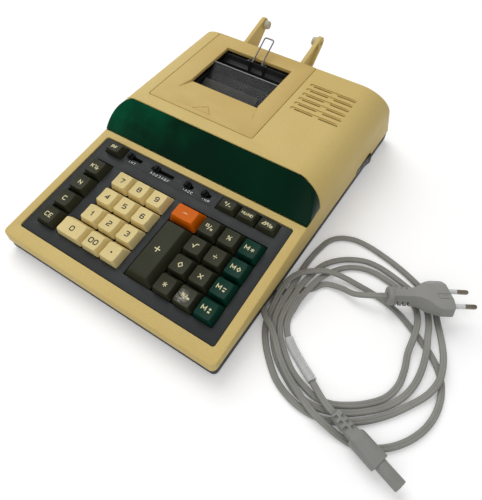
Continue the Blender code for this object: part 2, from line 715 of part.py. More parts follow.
def cut_rocker_notch(target):
    """The notch for the power switch, shared by the case and the base pan."""
    name = "rocker_notch_" + target.name
    half = ROCKER_LENGTH / 2.0
    notch = box(
        name,
        (HALF_WIDTH - ROCKER_DEPTH - ROCKER_SWEEP - SEAT_GAP, ROCKER_RUN - half - ROCKER_FRONT_GAP, ROCKER_LOW - SEAT_GAP),
        (HALF_WIDTH + WALL, ROCKER_RUN + half + ROCKER_REAR_GAP, ROCKER_HIGH + SEAT_GAP),
        MACHINE,
    )
    boolean(target, notch)


def cut_inlet_hole(case):
    """The hole in the leaning rear wall that the mains inlet looks out of."""
    half = INLET_WIDTH / 2.0 + SEAT_GAP
    hole = box(
        "inlet_hole",
        (INLET_MIDDLE - half, INLET_FACE_RUN - INLET_DEPTH, CASE_FOOT - WALL),
        (INLET_MIDDLE + half, CASE_DEPTH + WALL, INLET_HEIGHT + SEAT_GAP),
        MACHINE,
    )
    boolean(case, hole)


def make_base_pan():
    """The dark tray with its feet and the posts that carry the board and the printer."""
    half = HALF_WIDTH - PAN_INSET
    low = (-half, PAN_INSET, FOOT_HEIGHT)
    high = (half, CASE_DEPTH - PAN_INSET, PAN_TOP)
    draft = (PAN_SIDE_DRAFT, PAN_END_DRAFT)
    pan = tray("base_pan", low, high, draft, MACHINE, PAN_GREY)
    hollow = tray(
        "pan_hollow",
        (low[0] + PAN_WALL, low[1] + PAN_WALL, PAN_FLOOR_TOP),
        (high[0] - PAN_WALL, high[1] - PAN_WALL, PAN_TOP + PAN_FLOOR),
        draft,
        MACHINE,
    )
    boolean(pan, hollow)
    for index, (x, run) in enumerate(corner_places(half - FOOT_INSET, FOOT_INSET, CASE_DEPTH - FOOT_INSET)):
        foot = rod(f"foot_{index}", FOOT_RADIUS, (x, run, 0.0), (x, run, FOOT_HEIGHT + PAN_FLOOR / 2.0), MACHINE)
        boolean(pan, foot, "UNION")
    board_posts = corner_places(BOARD_WIDTH / 2.0 - POST_SIZE, BOARD_FRONT + POST_SIZE, BOARD_REAR - POST_SIZE)
    for index, (x, run) in enumerate(board_posts):
        boolean(pan, post(f"board_post_{index}", x, run, BOARD_HEIGHT - SEAT_GAP), "UNION")
    middle = (FRAME_LEFT + FRAME_RIGHT) / 2.0
    reach = (FRAME_RIGHT - FRAME_LEFT) / 2.0 - POST_SIZE
    frame_posts = corner_places(reach, FRAME_FRONT + POST_SIZE, FRAME_REAR - POST_SIZE)
    for index, (x, run) in enumerate(frame_posts):
        boolean(pan, post(f"frame_post_{index}", middle + x, run, FRAME_LOW - SEAT_GAP), "UNION")
    cut_rocker_notch(pan)
    return pan


def corner_places(x, front, rear):
    """Four places, left and right at two runs."""
    return ((-x, front), (x, front), (-x, rear), (x, rear))


def post(name, x, run, top):
    """A square post on the pan's floor."""
    half = POST_SIZE / 2.0
    return box(name, (x - half, run - half, FOOT_HEIGHT + PAN_FLOOR / 2.0), (x + half, run + half, top), MACHINE)


# Keyboard
def key_list():
    """Every key: name, x and run of its middle, width, depth, top size, top shift, rise and material."""
    rows = [BACK_ROW_RUN - ROW_PITCH * row for row in range(4)]
    keys = []

    def add(name, x, run, spec, width=KEY_WIDTH, depth=KEY_DEPTH, rise=KEY_RISE, top=None, shift=KEY_TOP_SHIFT):
        top = top or (width - KEY_WIDTH + KEY_TOP_WIDTH, KEY_TOP_DEPTH)
        keys.append((name, x, run, width, depth, top, shift, rise, spec))

    top_row_top = (KEY_TOP_WIDTH, TOP_ROW_TOP_DEPTH)
    add("key_feed", FUNCTION_COLUMN, TOP_ROW_RUN, OLIVE, depth=TOP_ROW_DEPTH, top=(KEY_TOP_WIDTH, TOP_ROW_TOP_DEPTH))
    for run, name in zip(rows, ("key_constant", "key_count", "key_clear", "key_clear_entry")):
        add(name, FUNCTION_COLUMN, run, OLIVE)
    for row, names in enumerate((("7", "8", "9"), ("4", "5", "6"), ("1", "2", "3"))):
        for column, digit in enumerate(names):
            add("key_" + digit, DIGIT_COLUMN + column * KEY_PITCH, rows[row], IVORY)
    zero_x = DIGIT_COLUMN - (ZERO_WIDTH - KEY_WIDTH) / 2.0
    add("key_0", zero_x, rows[3], IVORY, width=ZERO_WIDTH)
    add("key_00", DIGIT_COLUMN + KEY_PITCH, rows[3], IVORY)
    add("key_point", DIGIT_COLUMN + 2.0 * KEY_PITCH, rows[3], IVORY)
    minus_top = (BAR_WIDTH - KEY_WIDTH + KEY_TOP_WIDTH - 0.0014, KEY_TOP_DEPTH - 0.0014)
    add("key_minus", BAR_COLUMN, rows[0], ORANGE, width=BAR_WIDTH, rise=KEY_RISE + MINUS_EXTRA_RISE, top=minus_top)
    plus_depth = KEY_DEPTH + (PLUS_ROWS - 1) * ROW_PITCH
    plus_top = (BAR_WIDTH - KEY_WIDTH + KEY_TOP_WIDTH - 0.0040, plus_depth - 0.0069)
    add("key_plus", BAR_COLUMN, rows[2], OLIVE, width=BAR_WIDTH, depth=plus_depth, top=plus_top, shift=0.0)
    block = (
        ("key_subtotal", "key_percent", "key_memory_total"),
        ("key_root", "key_divide", "key_memory_subtotal"),
        ("key_diamond", "key_multiply", "key_memory_minus"),
        ("key_total", "key_percent_equals", "key_memory_plus"),
    )
    for row, names in enumerate(block):
        for column, name in enumerate(names):
            spec = GREEN if column == 2 else OLIVE
            add(name, BLOCK_COLUMN + column * KEY_PITCH, rows[row], spec)
    for column, name in enumerate(("key_sign", "key_markup", "key_change")):
        x = SIGN_COLUMN + column * KEY_PITCH
        add(name, x, TOP_ROW_RUN, OLIVE, depth=TOP_ROW_DEPTH, rise=TOP_ROW_RISE, top=top_row_top, shift=0.0)
    return keys


KEYS = key_list()


def stem_places(key):
    """Runs of a key's stems: one in the middle, or two on the tall key."""
    name, x, run, width, depth = key[:5]
    if depth > 2.0 * KEY_DEPTH:
        reach = depth / 2.0 - KEY_DEPTH / 2.0
        return ((x, run - reach), (x, run + reach))
    return ((x, run),)


def make_key(key):
    """One key with its cap above the panel and its stems in the guide plate."""
    name, x, run, width, depth, top, shift, rise, spec = key
    foot = -PANEL_SUNK - KEY_SKIRT
    bm = bmesh.new()
    bmesh.ops.create_cube(bm, size=1.0)
    height = KEY_SKIRT + rise
    for vert in bm.verts:
        upper = vert.co.z > 0.0
        size = top if upper else (width, depth)
        vert.co.x *= size[0]
        vert.co.y = vert.co.y * size[1] + (shift if upper else 0.0)
        vert.co.z = height if upper else 0.0
    corners = [edge for edge in bm.edges if abs(edge.verts[0].co.z - edge.verts[1].co.z) > height / 2.0]
    bmesh.ops.bevel(bm, geom=corners, offset=KEY_CORNER, segments=2, profile=0.5, affect="EDGES")
    crown = [face for face in bm.faces if all(vert.co.z > height - 0.00001 for vert in face.verts)]
    bmesh.ops.inset_region(bm, faces=crown, thickness=KEY_RIM, depth=-KEY_DISH, use_even_offset=True)
    cap = add_object(name, mesh_from(bm, name), KEYBOARD, spec, Matrix.Translation((x, run, foot)))
    half = STEM_SIZE / 2.0
    stem_foot = -PANEL_SUNK - GUIDE_DEPTH - GUIDE_THICKNESS - STEM_REACH
    for index, (stem_x, stem_run) in enumerate(stem_places(key)):
        stem = box(
            f"{name}_stem_{index}",
            (stem_x - half, stem_run - half, stem_foot),
            (stem_x + half, stem_run + half, foot + KEY_SKIRT),
            KEYBOARD,
        )
        boolean(cap, stem, "UNION")
    return cap


def key_groups():
    """Panel openings as low and high corners, each shared by neighbouring keys."""
    table = {key[0]: key for key in KEYS}

    def around(names):
        boxes = [table[name] for name in names]
        left = min(key[1] - key[3] / 2.0 for key in boxes) - KEY_CLEARANCE
        right = max(key[1] + key[3] / 2.0 for key in boxes) + KEY_CLEARANCE
        front = min(key[2] - key[4] / 2.0 for key in boxes) - KEY_CLEARANCE
        rear = max(key[2] + key[4] / 2.0 for key in boxes) + KEY_CLEARANCE
        return (left, front), (right, rear)

    return (
        around(("key_feed",)),
        around(("key_constant", "key_clear_entry")),
        around(("key_7", "key_point")),
        around(("key_0",)),
        around(("key_minus", "key_memory_plus")),
        around(("key_sign", "key_change")),
    )


def make_key_panel():
    """The dark plate round the keys, with the slots of the slide switches."""
    low = -PANEL_SUNK - PANEL_THICKNESS
    panel = box(
        "key_panel",
        (-PANEL_WIDTH / 2.0, PANEL_FRONT, low),
        (PANEL_WIDTH / 2.0, PANEL_REAR, -PANEL_SUNK),
        KEYBOARD,
        PANEL_GREY,
    )
    for index, (near, far) in enumerate(key_groups()):
        opening = box(f"key_opening_{index}", (*near, low - WALL), (*far, WALL), KEYBOARD)
        boolean(panel, opening)
    for name, left, right, rest in SWITCH_PLACES:
        slot = box(
            name + "_slot",
            (left, SWITCH_RUN - SLOT_DEPTH / 2.0, low - WALL),
            (right, SWITCH_RUN + SLOT_DEPTH / 2.0, WALL),
            KEYBOARD,
        )
        boolean(panel, slot)
    return panel


def make_key_guide():
    """The plate under the panel: a rim that carries the panel, a hole for each stem and legs."""
    top = -PANEL_SUNK - GUIDE_DEPTH
    half = PANEL_WIDTH / 2.0 - GUIDE_MARGIN
    front = PANEL_FRONT + GUIDE_MARGIN
    rear = PANEL_REAR - GUIDE_MARGIN
    rim_top = -PANEL_SUNK - PANEL_THICKNESS - SEAT_GAP
    guide = box("key_guide", (-half, front, top - GUIDE_THICKNESS), (half, rear, rim_top), KEYBOARD, BLACK)
    well = box(
        "guide_well",
        (-half + GUIDE_RIM, front + GUIDE_RIM, top),
        (half - GUIDE_RIM, rear - GUIDE_RIM, WALL),
        KEYBOARD,
    )
    boolean(guide, well)
    hole_half = STEM_SIZE / 2.0 + SEAT_GAP
    for key in KEYS:
        for index, (x, run) in enumerate(stem_places(key)):
            hole = box(
                f"{key[0]}_hole_{index}",
                (x - hole_half, run - hole_half, top - 2.0 * GUIDE_THICKNESS),
                (x + hole_half, run + hole_half, top + GUIDE_THICKNESS),
                KEYBOARD,
            )
            boolean(guide, hole)
    for index, (near, far) in enumerate(key_groups()):
        space = box(f"key_space_{index}", (*near, top + SEAT_GAP), (*far, WALL), KEYBOARD)
        boolean(guide, space)
    leg_low = PAN_FLOOR_TOP + SEAT_GAP
    leg_places = corner_places(half - LEG_SIZE, front + LEG_SIZE, rear - LEG_SIZE)
    for index, (x, run) in enumerate(leg_places):
        level = FRONT_HEIGHT + (run * math.sin(KEYBOARD_SLOPE)) + (top - GUIDE_THICKNESS / 2.0) * math.cos(KEYBOARD_SLOPE)
        leg = box(
            f"guide_leg_{index}",
            (x - LEG_SIZE / 2.0, run - LEG_SIZE / 2.0, leg_low),
            (x + LEG_SIZE / 2.0, run + LEG_SIZE / 2.0, level),
            MACHINE,
        )
        boolean(guide, leg, "UNION")
    return guide


def make_slide_switches():
    """Four knobs, each a cap over the panel, a neck in its slot and a foot that keeps it in."""
    under = -PANEL_SUNK - PANEL_THICKNESS - SEAT_GAP
    over = -PANEL_SUNK + SEAT_GAP
    neck_depth = SLOT_DEPTH - 2.0 * SEAT_GAP
    for name, left, right, rest in SWITCH_PLACES:
        knob = box(
            name,
            (rest - KNOB_WIDTH / 2.0, SWITCH_RUN - KNOB_DEPTH / 2.0, over),
            (rest + KNOB_WIDTH / 2.0, SWITCH_RUN + KNOB_DEPTH / 2.0, over + KNOB_RISE),
            KEYBOARD,
            BLACK,
        )
        neck = box(
            name + "_neck",
            (rest - KNOB_NECK / 2.0, SWITCH_RUN - neck_depth / 2.0, under - KNOB_FOOT / 2.0),
            (rest + KNOB_NECK / 2.0, SWITCH_RUN + neck_depth / 2.0, over + KNOB_RISE / 2.0),
            KEYBOARD,
        )
        foot = box(
            name + "_foot",
            (rest - KNOB_WIDTH / 2.0, SWITCH_RUN - KNOB_DEPTH / 2.0, under - KNOB_FOOT),
            (rest + KNOB_WIDTH / 2.0, SWITCH_RUN + KNOB_DEPTH / 2.0, under),
            KEYBOARD,
        )
        boolean(knob, neck, "UNION")
        boolean(knob, foot, "UNION")


# Window and printer
def make_display_window():
    """The dark green window: the sloped front of the housing with its wrapped ends."""
    outer = [
        (WINDOW_FOOT_RUN, WINDOW_FOOT_HEIGHT),
        (WINDOW_TOP_RUN, WINDOW_BACK_HEIGHT),
        (WINDOW_TOP_RUN, WINDOW_TOP_HEIGHT),
    ]
    seated = inset_outline(outer, (SEAT_GAP, SEAT_GAP, 0.0))
    window = outline("display_window", seated, -HALF_WIDTH, HALF_WIDTH, SIDE_VIEW, MACHINE, WINDOW_GREEN)
    boolean(window, rounded_prism("window_section", HALF_WIDTH, 0.0, HOUSING_RADIUS), "INTERSECT")
    inner = inset_outline(outer, (-WINDOW_THICKNESS, -WINDOW_THICKNESS, WINDOW_THICKNESS))
    reach = HALF_WIDTH - WINDOW_THICKNESS
    hollow = outline("window_hollow", inner, -reach, reach, SIDE_VIEW, MACHINE)
    inner_section = rounded_prism("window_inner_section", reach, -WINDOW_THICKNESS, HOUSING_RADIUS - WINDOW_THICKNESS)
    boolean(hollow, inner_section, "INTERSECT")
    boolean(window, hollow)
    return window


def make_printer_cover():
    """The tan plate over the printer, with the paper opening and the ramp in front of it."""
    cover = box(
        "printer_cover",
        (COVER_LEFT, COVER_FRONT, -COVER_THICKNESS),
        (COVER_RIGHT, ROOF_LENGTH, 0.0),
        ROOF,
        TAN,
    )
    opening = box(
        "paper_opening",
        (PAPER_LEFT, PAPER_FRONT, -BEYOND / 2.0),
        (PAPER_RIGHT, PAPER_REAR, BEYOND),
        ROOF,
    )
    ramp_points = [
        (PAPER_FRONT - RAMP_LENGTH, 0.0),
        (PAPER_FRONT + WALL, -RAMP_DEPTH * (1.0 + WALL / RAMP_LENGTH)),
        (PAPER_FRONT + WALL, BEYOND),
        (PAPER_FRONT - RAMP_LENGTH, BEYOND),
    ]
    ramp = outline("paper_ramp", ramp_points, PAPER_LEFT, PAPER_RIGHT, SIDE_VIEW, ROOF)
    boolean(cover, opening)
    boolean(cover, ramp)
    return cover


def make_printer_frame():
    """Side plates, floor, sloped paper guide and back plate of the printer."""
    frame = box(
        "printer_frame",
        (FRAME_LEFT, FRAME_FRONT, FRAME_LOW),
        (FRAME_RIGHT, FRAME_REAR, FRAME_HIGH),
        MACHINE,
        BLACK,
    )
    well = box(
        "frame_well",
        (FRAME_LEFT + FRAME_PLATE, FRAME_FRONT - WALL, FRAME_LOW + FRAME_FLOOR),
        (FRAME_RIGHT - FRAME_PLATE, FRAME_REAR + WALL, FRAME_HIGH + WALL),
        MACHINE,
    )
    boolean(frame, well)
    inner_left = FRAME_LEFT + FRAME_PLATE / 2.0
    inner_right = FRAME_RIGHT - FRAME_PLATE / 2.0
    slope = [
        (GUIDE_FRONT_RUN, GUIDE_FRONT_HEIGHT - GUIDE_PLATE),
        (GUIDE_REAR_RUN, GUIDE_REAR_HEIGHT - GUIDE_PLATE),
        (GUIDE_REAR_RUN, GUIDE_REAR_HEIGHT),
        (GUIDE_FRONT_RUN, GUIDE_FRONT_HEIGHT),
    ]
    boolean(frame, outline("paper_guide", slope, inner_left, inner_right, SIDE_VIEW, MACHINE), "UNION")
    back = box(
        "back_plate",
        (inner_left, BACK_PLATE_RUN, FRAME_LOW + FRAME_FLOOR / 2.0),
        (inner_right, BACK_PLATE_RUN + BACK_PLATE_THICKNESS, FRAME_HIGH),
        MACHINE,
    )
    boolean(frame, back, "UNION")
    for name, run, height in (("roller", ROLLER_RUN, ROLLER_HEIGHT), ("drum", DRUM_RUN, DRUM_HEIGHT)):
        bore = rod(
            name + "_bore",
            SHAFT_RADIUS + SHAFT_CLEARANCE,
            (FRAME_LEFT - WALL, run, height),
            (FRAME_RIGHT + WALL, run, height),
            MACHINE,
        )
        boolean(frame, bore)
    for index, x in enumerate(ear_places()):
        ear = outline(
            f"bail_ear_{index}",
            [(BACK_PLATE_RUN, FRAME_HIGH - WALL)]
            + [(BACK_PLATE_RUN + BACK_PLATE_THICKNESS, FRAME_HIGH - WALL)]
            + arc((BAIL_RUN, BAIL_HEIGHT), EAR_RADIUS, -30, 210, 8),
            x - EAR_THICKNESS / 2.0,
            x + EAR_THICKNESS / 2.0,
            SIDE_VIEW,
            MACHINE,
        )
        boolean(frame, ear, "UNION")
        bore = rod(
            f"ear_bore_{index}",
            BAIL_WIRE + SHAFT_CLEARANCE,
            (x - EAR_THICKNESS, BAIL_RUN, BAIL_HEIGHT),
            (x + EAR_THICKNESS, BAIL_RUN, BAIL_HEIGHT),
            MACHINE,
            sides=12,
        )
        boolean(frame, bore)
    return frame


def ear_places():
    """Middles of the two ears that hold the bail's pivots."""
    reach = BAIL_BEND + EAR_THICKNESS / 2.0
    return BAIL_LEFT - reach, BAIL_RIGHT + reach


def make_shafted(name, radius, run, height, spec):
    """A turned roller with its shaft, running in the frame's side plates."""
    left = FRAME_LEFT + FRAME_PLATE + SEAT_GAP
    right = FRAME_RIGHT - FRAME_PLATE - SEAT_GAP
    shaft_left = FRAME_LEFT - SHAFT_REACH
    shaft_right = FRAME_RIGHT + SHAFT_REACH
    profile = [
        (0.0, shaft_right),
        (SHAFT_RADIUS, shaft_right),
        (SHAFT_RADIUS, right),
        (radius, right),
        (radius, left),
        (SHAFT_RADIUS, left),
        (SHAFT_RADIUS, shaft_left),
        (0.0, shaft_left),
    ]
    return turned(name, profile, Vector((0.0, run, height)), spec)


def turned(name, profile, place, spec, steps=24):
    """A closed turned shape about a line along X: radius and x of each profile point, top first."""
    mesh = bpy.data.meshes.new(name)
    mesh.from_pydata([(radius, 0.0, along) for radius, along in profile], [(i, i + 1) for i in range(len(profile) - 1)], [])
    axis = Matrix(((0, 0, 1, 0), (1, 0, 0, 0), (0, 1, 0, 0), (0, 0, 0, 1)))
    made = add_object(name, mesh, MACHINE, spec, Matrix.Translation(place) @ axis)
    step = made.modifiers.new("turn", "SCREW")
    step.axis = "Z"
    step.angle = math.tau
    step.steps = steps
    step.render_steps = steps
    step.use_merge_vertices = True
    step.merge_threshold = 0.00001
    step.use_smooth_shade = True
    return made


def make_tear_bar():
    """The clear bar in the paper opening, with ears that reach the frame's side plates."""
    rise = TEAR_TOP_HEIGHT - TEAR_FOOT_HEIGHT
    length = math.hypot(TEAR_TOP_RUN - TEAR_FOOT_RUN, rise)
    slope = math.atan2(rise, TEAR_TOP_RUN - TEAR_FOOT_RUN)
    wide_left = FRAME_LEFT + FRAME_PLATE + SEAT_GAP
    wide_right = FRAME_RIGHT - FRAME_PLATE - SEAT_GAP
    left = PAPER_LEFT + TEAR_SIDE_GAP
    right = PAPER_RIGHT - TEAR_SIDE_GAP
    points = [
        (wide_left, 0.0),
        (wide_right, 0.0),
        (wide_right, TEAR_EAR),
        (right, TEAR_EAR),
        (right, length),
        (left, length),
        (left, TEAR_EAR),
        (wide_left, TEAR_EAR),
    ]
    lean = Matrix.Translation((0.0, TEAR_FOOT_RUN, TEAR_FOOT_HEIGHT)) @ Matrix.Rotation(slope, 4, "X")
    bar = outline("tear_bar", points, -TEAR_THICKNESS, 0.0, lean, MACHINE, CLEAR)
    return bar


def make_paper_bail():
    """The bent wire: two pivots, two legs and the bridge, leaning back from its pivots."""
    pivot = Vector((0.0, BAIL_RUN, BAIL_HEIGHT))
    up = Vector((0.0, math.cos(BAIL_LEAN), math.sin(BAIL_LEAN)))

    def place(x, along):
        return tuple(Vector((x, 0.0, 0.0)) + pivot + up * along)

    def bend(x, along, side, top):
        """A rounded corner of the wire."""
        corner = []
        for step in range(4):
            angle = math.radians(30.0 * step)
            inward = BAIL_BEND * (1.0 - math.cos(angle))
            climb = BAIL_BEND * math.sin(angle)
            if top:
                corner.append(place(x + side * inward, along - BAIL_BEND + climb))
            else:
                corner.append(place(x - side * inward, along + BAIL_BEND - climb))
        return corner

    left_pivot = BAIL_LEFT - BAIL_PIVOT - BAIL_BEND
    right_pivot = BAIL_RIGHT + BAIL_PIVOT + BAIL_BEND
    points = [place(left_pivot, 0.0)]
    points += list(reversed(bend(BAIL_LEFT, 0.0, 1.0, False)))
    points += bend(BAIL_LEFT, BAIL_LENGTH, 1.0, True)
    points += list(reversed(bend(BAIL_RIGHT, BAIL_LENGTH, -1.0, True)))
    points += bend(BAIL_RIGHT, 0.0, -1.0, False)
    points += [place(right_pivot, 0.0)]
    bail = wire("paper_bail", points, BAIL_WIRE, MACHINE, STEEL)
    return hang(bail, "bail_pivot", (BAIL_LEFT + BAIL_RIGHT) / 2.0, BAIL_RUN, BAIL_HEIGHT)


def arm_outline(grow=0.0):
    """Side view of a paper arm: root along the leaning rear wall, round tip round the peg."""
    gap = SEAT_GAP * math.hypot(1.0, REAR_TAN)
    tip = (ARM_TIP_RUN, ARM_TIP_HEIGHT)
    root_low = (rear_run(ARM_ROOT_LOW) + gap, ARM_ROOT_LOW)
    root_high = (rear_run(ARM_ROOT_HIGH) + gap, ARM_ROOT_HIGH)
    points = [root_high, root_low]
    points += arc(tip, ARM_TIP_RADIUS - grow, -50, 105, 10)
    return points


def make_paper_arm(name, outer, inward):
    """A tapered arm, hollow on its outer side, with a bore for the peg's pin."""
    inner = outer + inward * ARM_THICKNESS
    low, high = min(outer, inner), max(outer, inner)
    arm = outline(name, arm_outline(), low, high, SIDE_VIEW, MACHINE, BEIGE)
    pocket_points = arm_pocket()
    floor = inner - inward * ARM_WEB
    beyond = outer - inward * WALL
    pocket = outline(
        name + "_pocket", pocket_points, min(floor, beyond), max(floor, beyond), SIDE_VIEW, MACHINE
    )
    boolean(arm, pocket)
    bore = rod(
        name + "_bore",
        PEG_PIN_RADIUS + SHAFT_CLEARANCE,
        (low - WALL, ARM_TIP_RUN, ARM_TIP_HEIGHT),
        (high + WALL, ARM_TIP_RUN, ARM_TIP_HEIGHT),
        MACHINE,
        sides=16,
    )
    boolean(arm, bore)
    hinge_height = (ARM_ROOT_LOW + ARM_ROOT_HIGH) / 2.0
    hinge_run = rear_run(hinge_height) + SEAT_GAP * math.hypot(1.0, REAR_TAN)
    return hang(arm, name + "_hinge", outer, hinge_run, hinge_height)


def arm_pocket():
    """The hollow between the arm's rims, short of its round tip."""
    gap = SEAT_GAP * math.hypot(1.0, REAR_TAN)
    low = (rear_run(ARM_ROOT_LOW) + gap, ARM_ROOT_LOW)
    high = (rear_run(ARM_ROOT_HIGH) + gap, ARM_ROOT_HIGH)
    near_tip_low = (ARM_TIP_RUN - 0.6 * ARM_TIP_RADIUS, ARM_TIP_HEIGHT - ARM_TIP_RADIUS)
    near_tip_high = (ARM_TIP_RUN - ARM_TIP_RADIUS, ARM_TIP_HEIGHT + ARM_TIP_RADIUS)
    return inset_outline([low, near_tip_low, near_tip_high, high], (ARM_RIM, ARM_RIM / 4.0, 1.6 * ARM_RIM, ARM_RIM))


def make_arm_peg(name, outer, inward):
    """The hub that carries the paper roll, with a pin through the arm."""
    inner = outer + inward * ARM_THICKNESS
    start = inner + inward * SEAT_GAP
    end = start + inward * PEG_LENGTH
    pin_end = outer + inward * ARM_THICKNESS / 2.0
    place = (ARM_TIP_RUN, ARM_TIP_HEIGHT)
    peg = rod(name, PEG_RADIUS, (start, *place), (end, *place), MACHINE, OFF_WHITE, sides=24)
    pin = rod(name + "_pin", PEG_PIN_RADIUS, (pin_end, *place), ((start + end) / 2.0, *place), MACHINE, sides=16)
    boolean(peg, pin, "UNION")
    return hang(peg, name + "_axis", (start + end) / 2.0, *place)


# Power
def make_power_rocker():
    """The power switch's rocker, front half level with the wall and rear half standing out."""
    half = ROCKER_LENGTH / 2.0
    back = HALF_WIDTH - ROCKER_DEPTH
    points = [
        (back, ROCKER_RUN - half),
        (HALF_WIDTH, ROCKER_RUN - half),
        (HALF_WIDTH + 0.0006, ROCKER_RUN),
        (HALF_WIDTH + ROCKER_RAISED, ROCKER_RUN + half),
        (back, ROCKER_RUN + half),
    ]
    rocker = outline("power_rocker", points, ROCKER_LOW, ROCKER_HIGH, Matrix.Identity(4), MACHINE, BLACK)
    return hang(rocker, "rocker_pivot", HALF_WIDTH - ROCKER_DEPTH / 2.0, ROCKER_RUN, (ROCKER_LOW + ROCKER_HIGH) / 2.0)


def make_mains_inlet():
    """The socket for the loose lead, with two pins in a rounded recess."""
    half = INLET_WIDTH / 2.0
    low = PAN_FLOOR_TOP + SEAT_GAP
    inlet = box(
        "mains_inlet",
        (INLET_MIDDLE - half, INLET_FACE_RUN - INLET_DEPTH, low),
        (INLET_MIDDLE + half, INLET_FACE_RUN, INLET_HEIGHT),
        MACHINE,
        BLACK,
    )
    radius = INLET_SOCKET_HEIGHT / 2.0
    reach = INLET_SOCKET_WIDTH / 2.0 - radius
    middle = INLET_HEIGHT - INLET_SOCKET_HEIGHT
    points = arc((INLET_MIDDLE + reach, middle), radius, -90, 90, 6)
    points += arc((INLET_MIDDLE - reach, middle), radius, 90, 270, 6)
    deep = INLET_FACE_RUN - INLET_SOCKET_DEPTH
    socket = outline("inlet_socket", points, -INLET_FACE_RUN - WALL, -deep, FRONT_VIEW, MACHINE)
    boolean(inlet, socket)
    for index, side in enumerate((-1.0, 1.0)):
        x = INLET_MIDDLE + side * INLET_PIN_SPREAD / 2.0
        pin = rod(
            f"inlet_pin_{index}",
            INLET_PIN_RADIUS,
            (x, deep - WALL, middle),
            (x, INLET_FACE_RUN - WALL, middle),
            MACHINE,
            sides=12,
        )
        boolean(inlet, pin, "UNION")
    return inlet


def make_main_board():
    """The circuit board with the upright display board and its tube soldered to it."""
    board = box(
        "main_board",
        (-BOARD_WIDTH / 2.0, BOARD_FRONT, BOARD_HEIGHT),
        (BOARD_WIDTH / 2.0, BOARD_REAR, BOARD_HEIGHT + BOARD_THICKNESS),
        MACHINE,
        BOARD_GREEN,
    )
    upright = box(
        "display_board",
        (TUBE_LEFT, TUBE_RUN + TUBE_THICKNESS - BOARD_THICKNESS / 2.0, BOARD_HEIGHT + BOARD_THICKNESS / 2.0),
        (TUBE_RIGHT, TUBE_RUN + TUBE_THICKNESS + BOARD_THICKNESS / 2.0, TUBE_HIGH),
        MACHINE,
    )
    tube = box(
        "display_tube",
        (TUBE_LEFT, TUBE_RUN, TUBE_LOW),
        (TUBE_RIGHT, TUBE_RUN + TUBE_THICKNESS, TUBE_HIGH - BOARD_THICKNESS),
        MACHINE,
    )
    boolean(board, upright, "UNION")
    boolean(board, tube, "UNION")
    return board


def make_transformer():
    """Laminated core with its winding round the middle."""
    low = PAN_FLOOR_TOP + SEAT_GAP
    core = box(
        "mains_transformer",
        (TRANSFORMER_MIDDLE - TRANSFORMER_WIDTH / 2.0, TRANSFORMER_RUN - TRANSFORMER_DEPTH / 2.0, low),
        (TRANSFORMER_MIDDLE + TRANSFORMER_WIDTH / 2.0, TRANSFORMER_RUN + TRANSFORMER_DEPTH / 2.0, low + TRANSFORMER_HEIGHT),
        MACHINE,
        CORE_GREY,
    )
    winding = box(
        "winding",
        (TRANSFORMER_MIDDLE - WINDING_WIDTH / 2.0, TRANSFORMER_RUN - WINDING_DEPTH / 2.0, low + WINDING_MARGIN),
        (
            TRANSFORMER_MIDDLE + WINDING_WIDTH / 2.0,
            TRANSFORMER_RUN + WINDING_DEPTH / 2.0,
            low + TRANSFORMER_HEIGHT - WINDING_MARGIN,
        ),
        MACHINE,
    )
    boolean(core, winding, "UNION")
    return core


# Mains lead
def make_lead_frame(name, place, heading, pitch=0.0, roll=0.0):
    """Axes with X along a plug or connector, away from its cord."""
    turn = Matrix.Rotation(heading, 4, "Z") @ Matrix.Rotation(-pitch, 4, "Y") @ Matrix.Rotation(roll, 4, "X")
    return make_frame(name, Matrix.Translation(place) @ turn)


PLAN_VIEW = Matrix.Identity(4)
EDGE_VIEW = FRONT_VIEW
END_VIEW = SIDE_VIEW


def mirrored(points):
    """A closed outline from the points of its upper half, first to last along X."""
    return [(x, -y) for x, y in points] + [(x, y) for x, y in reversed(points)]


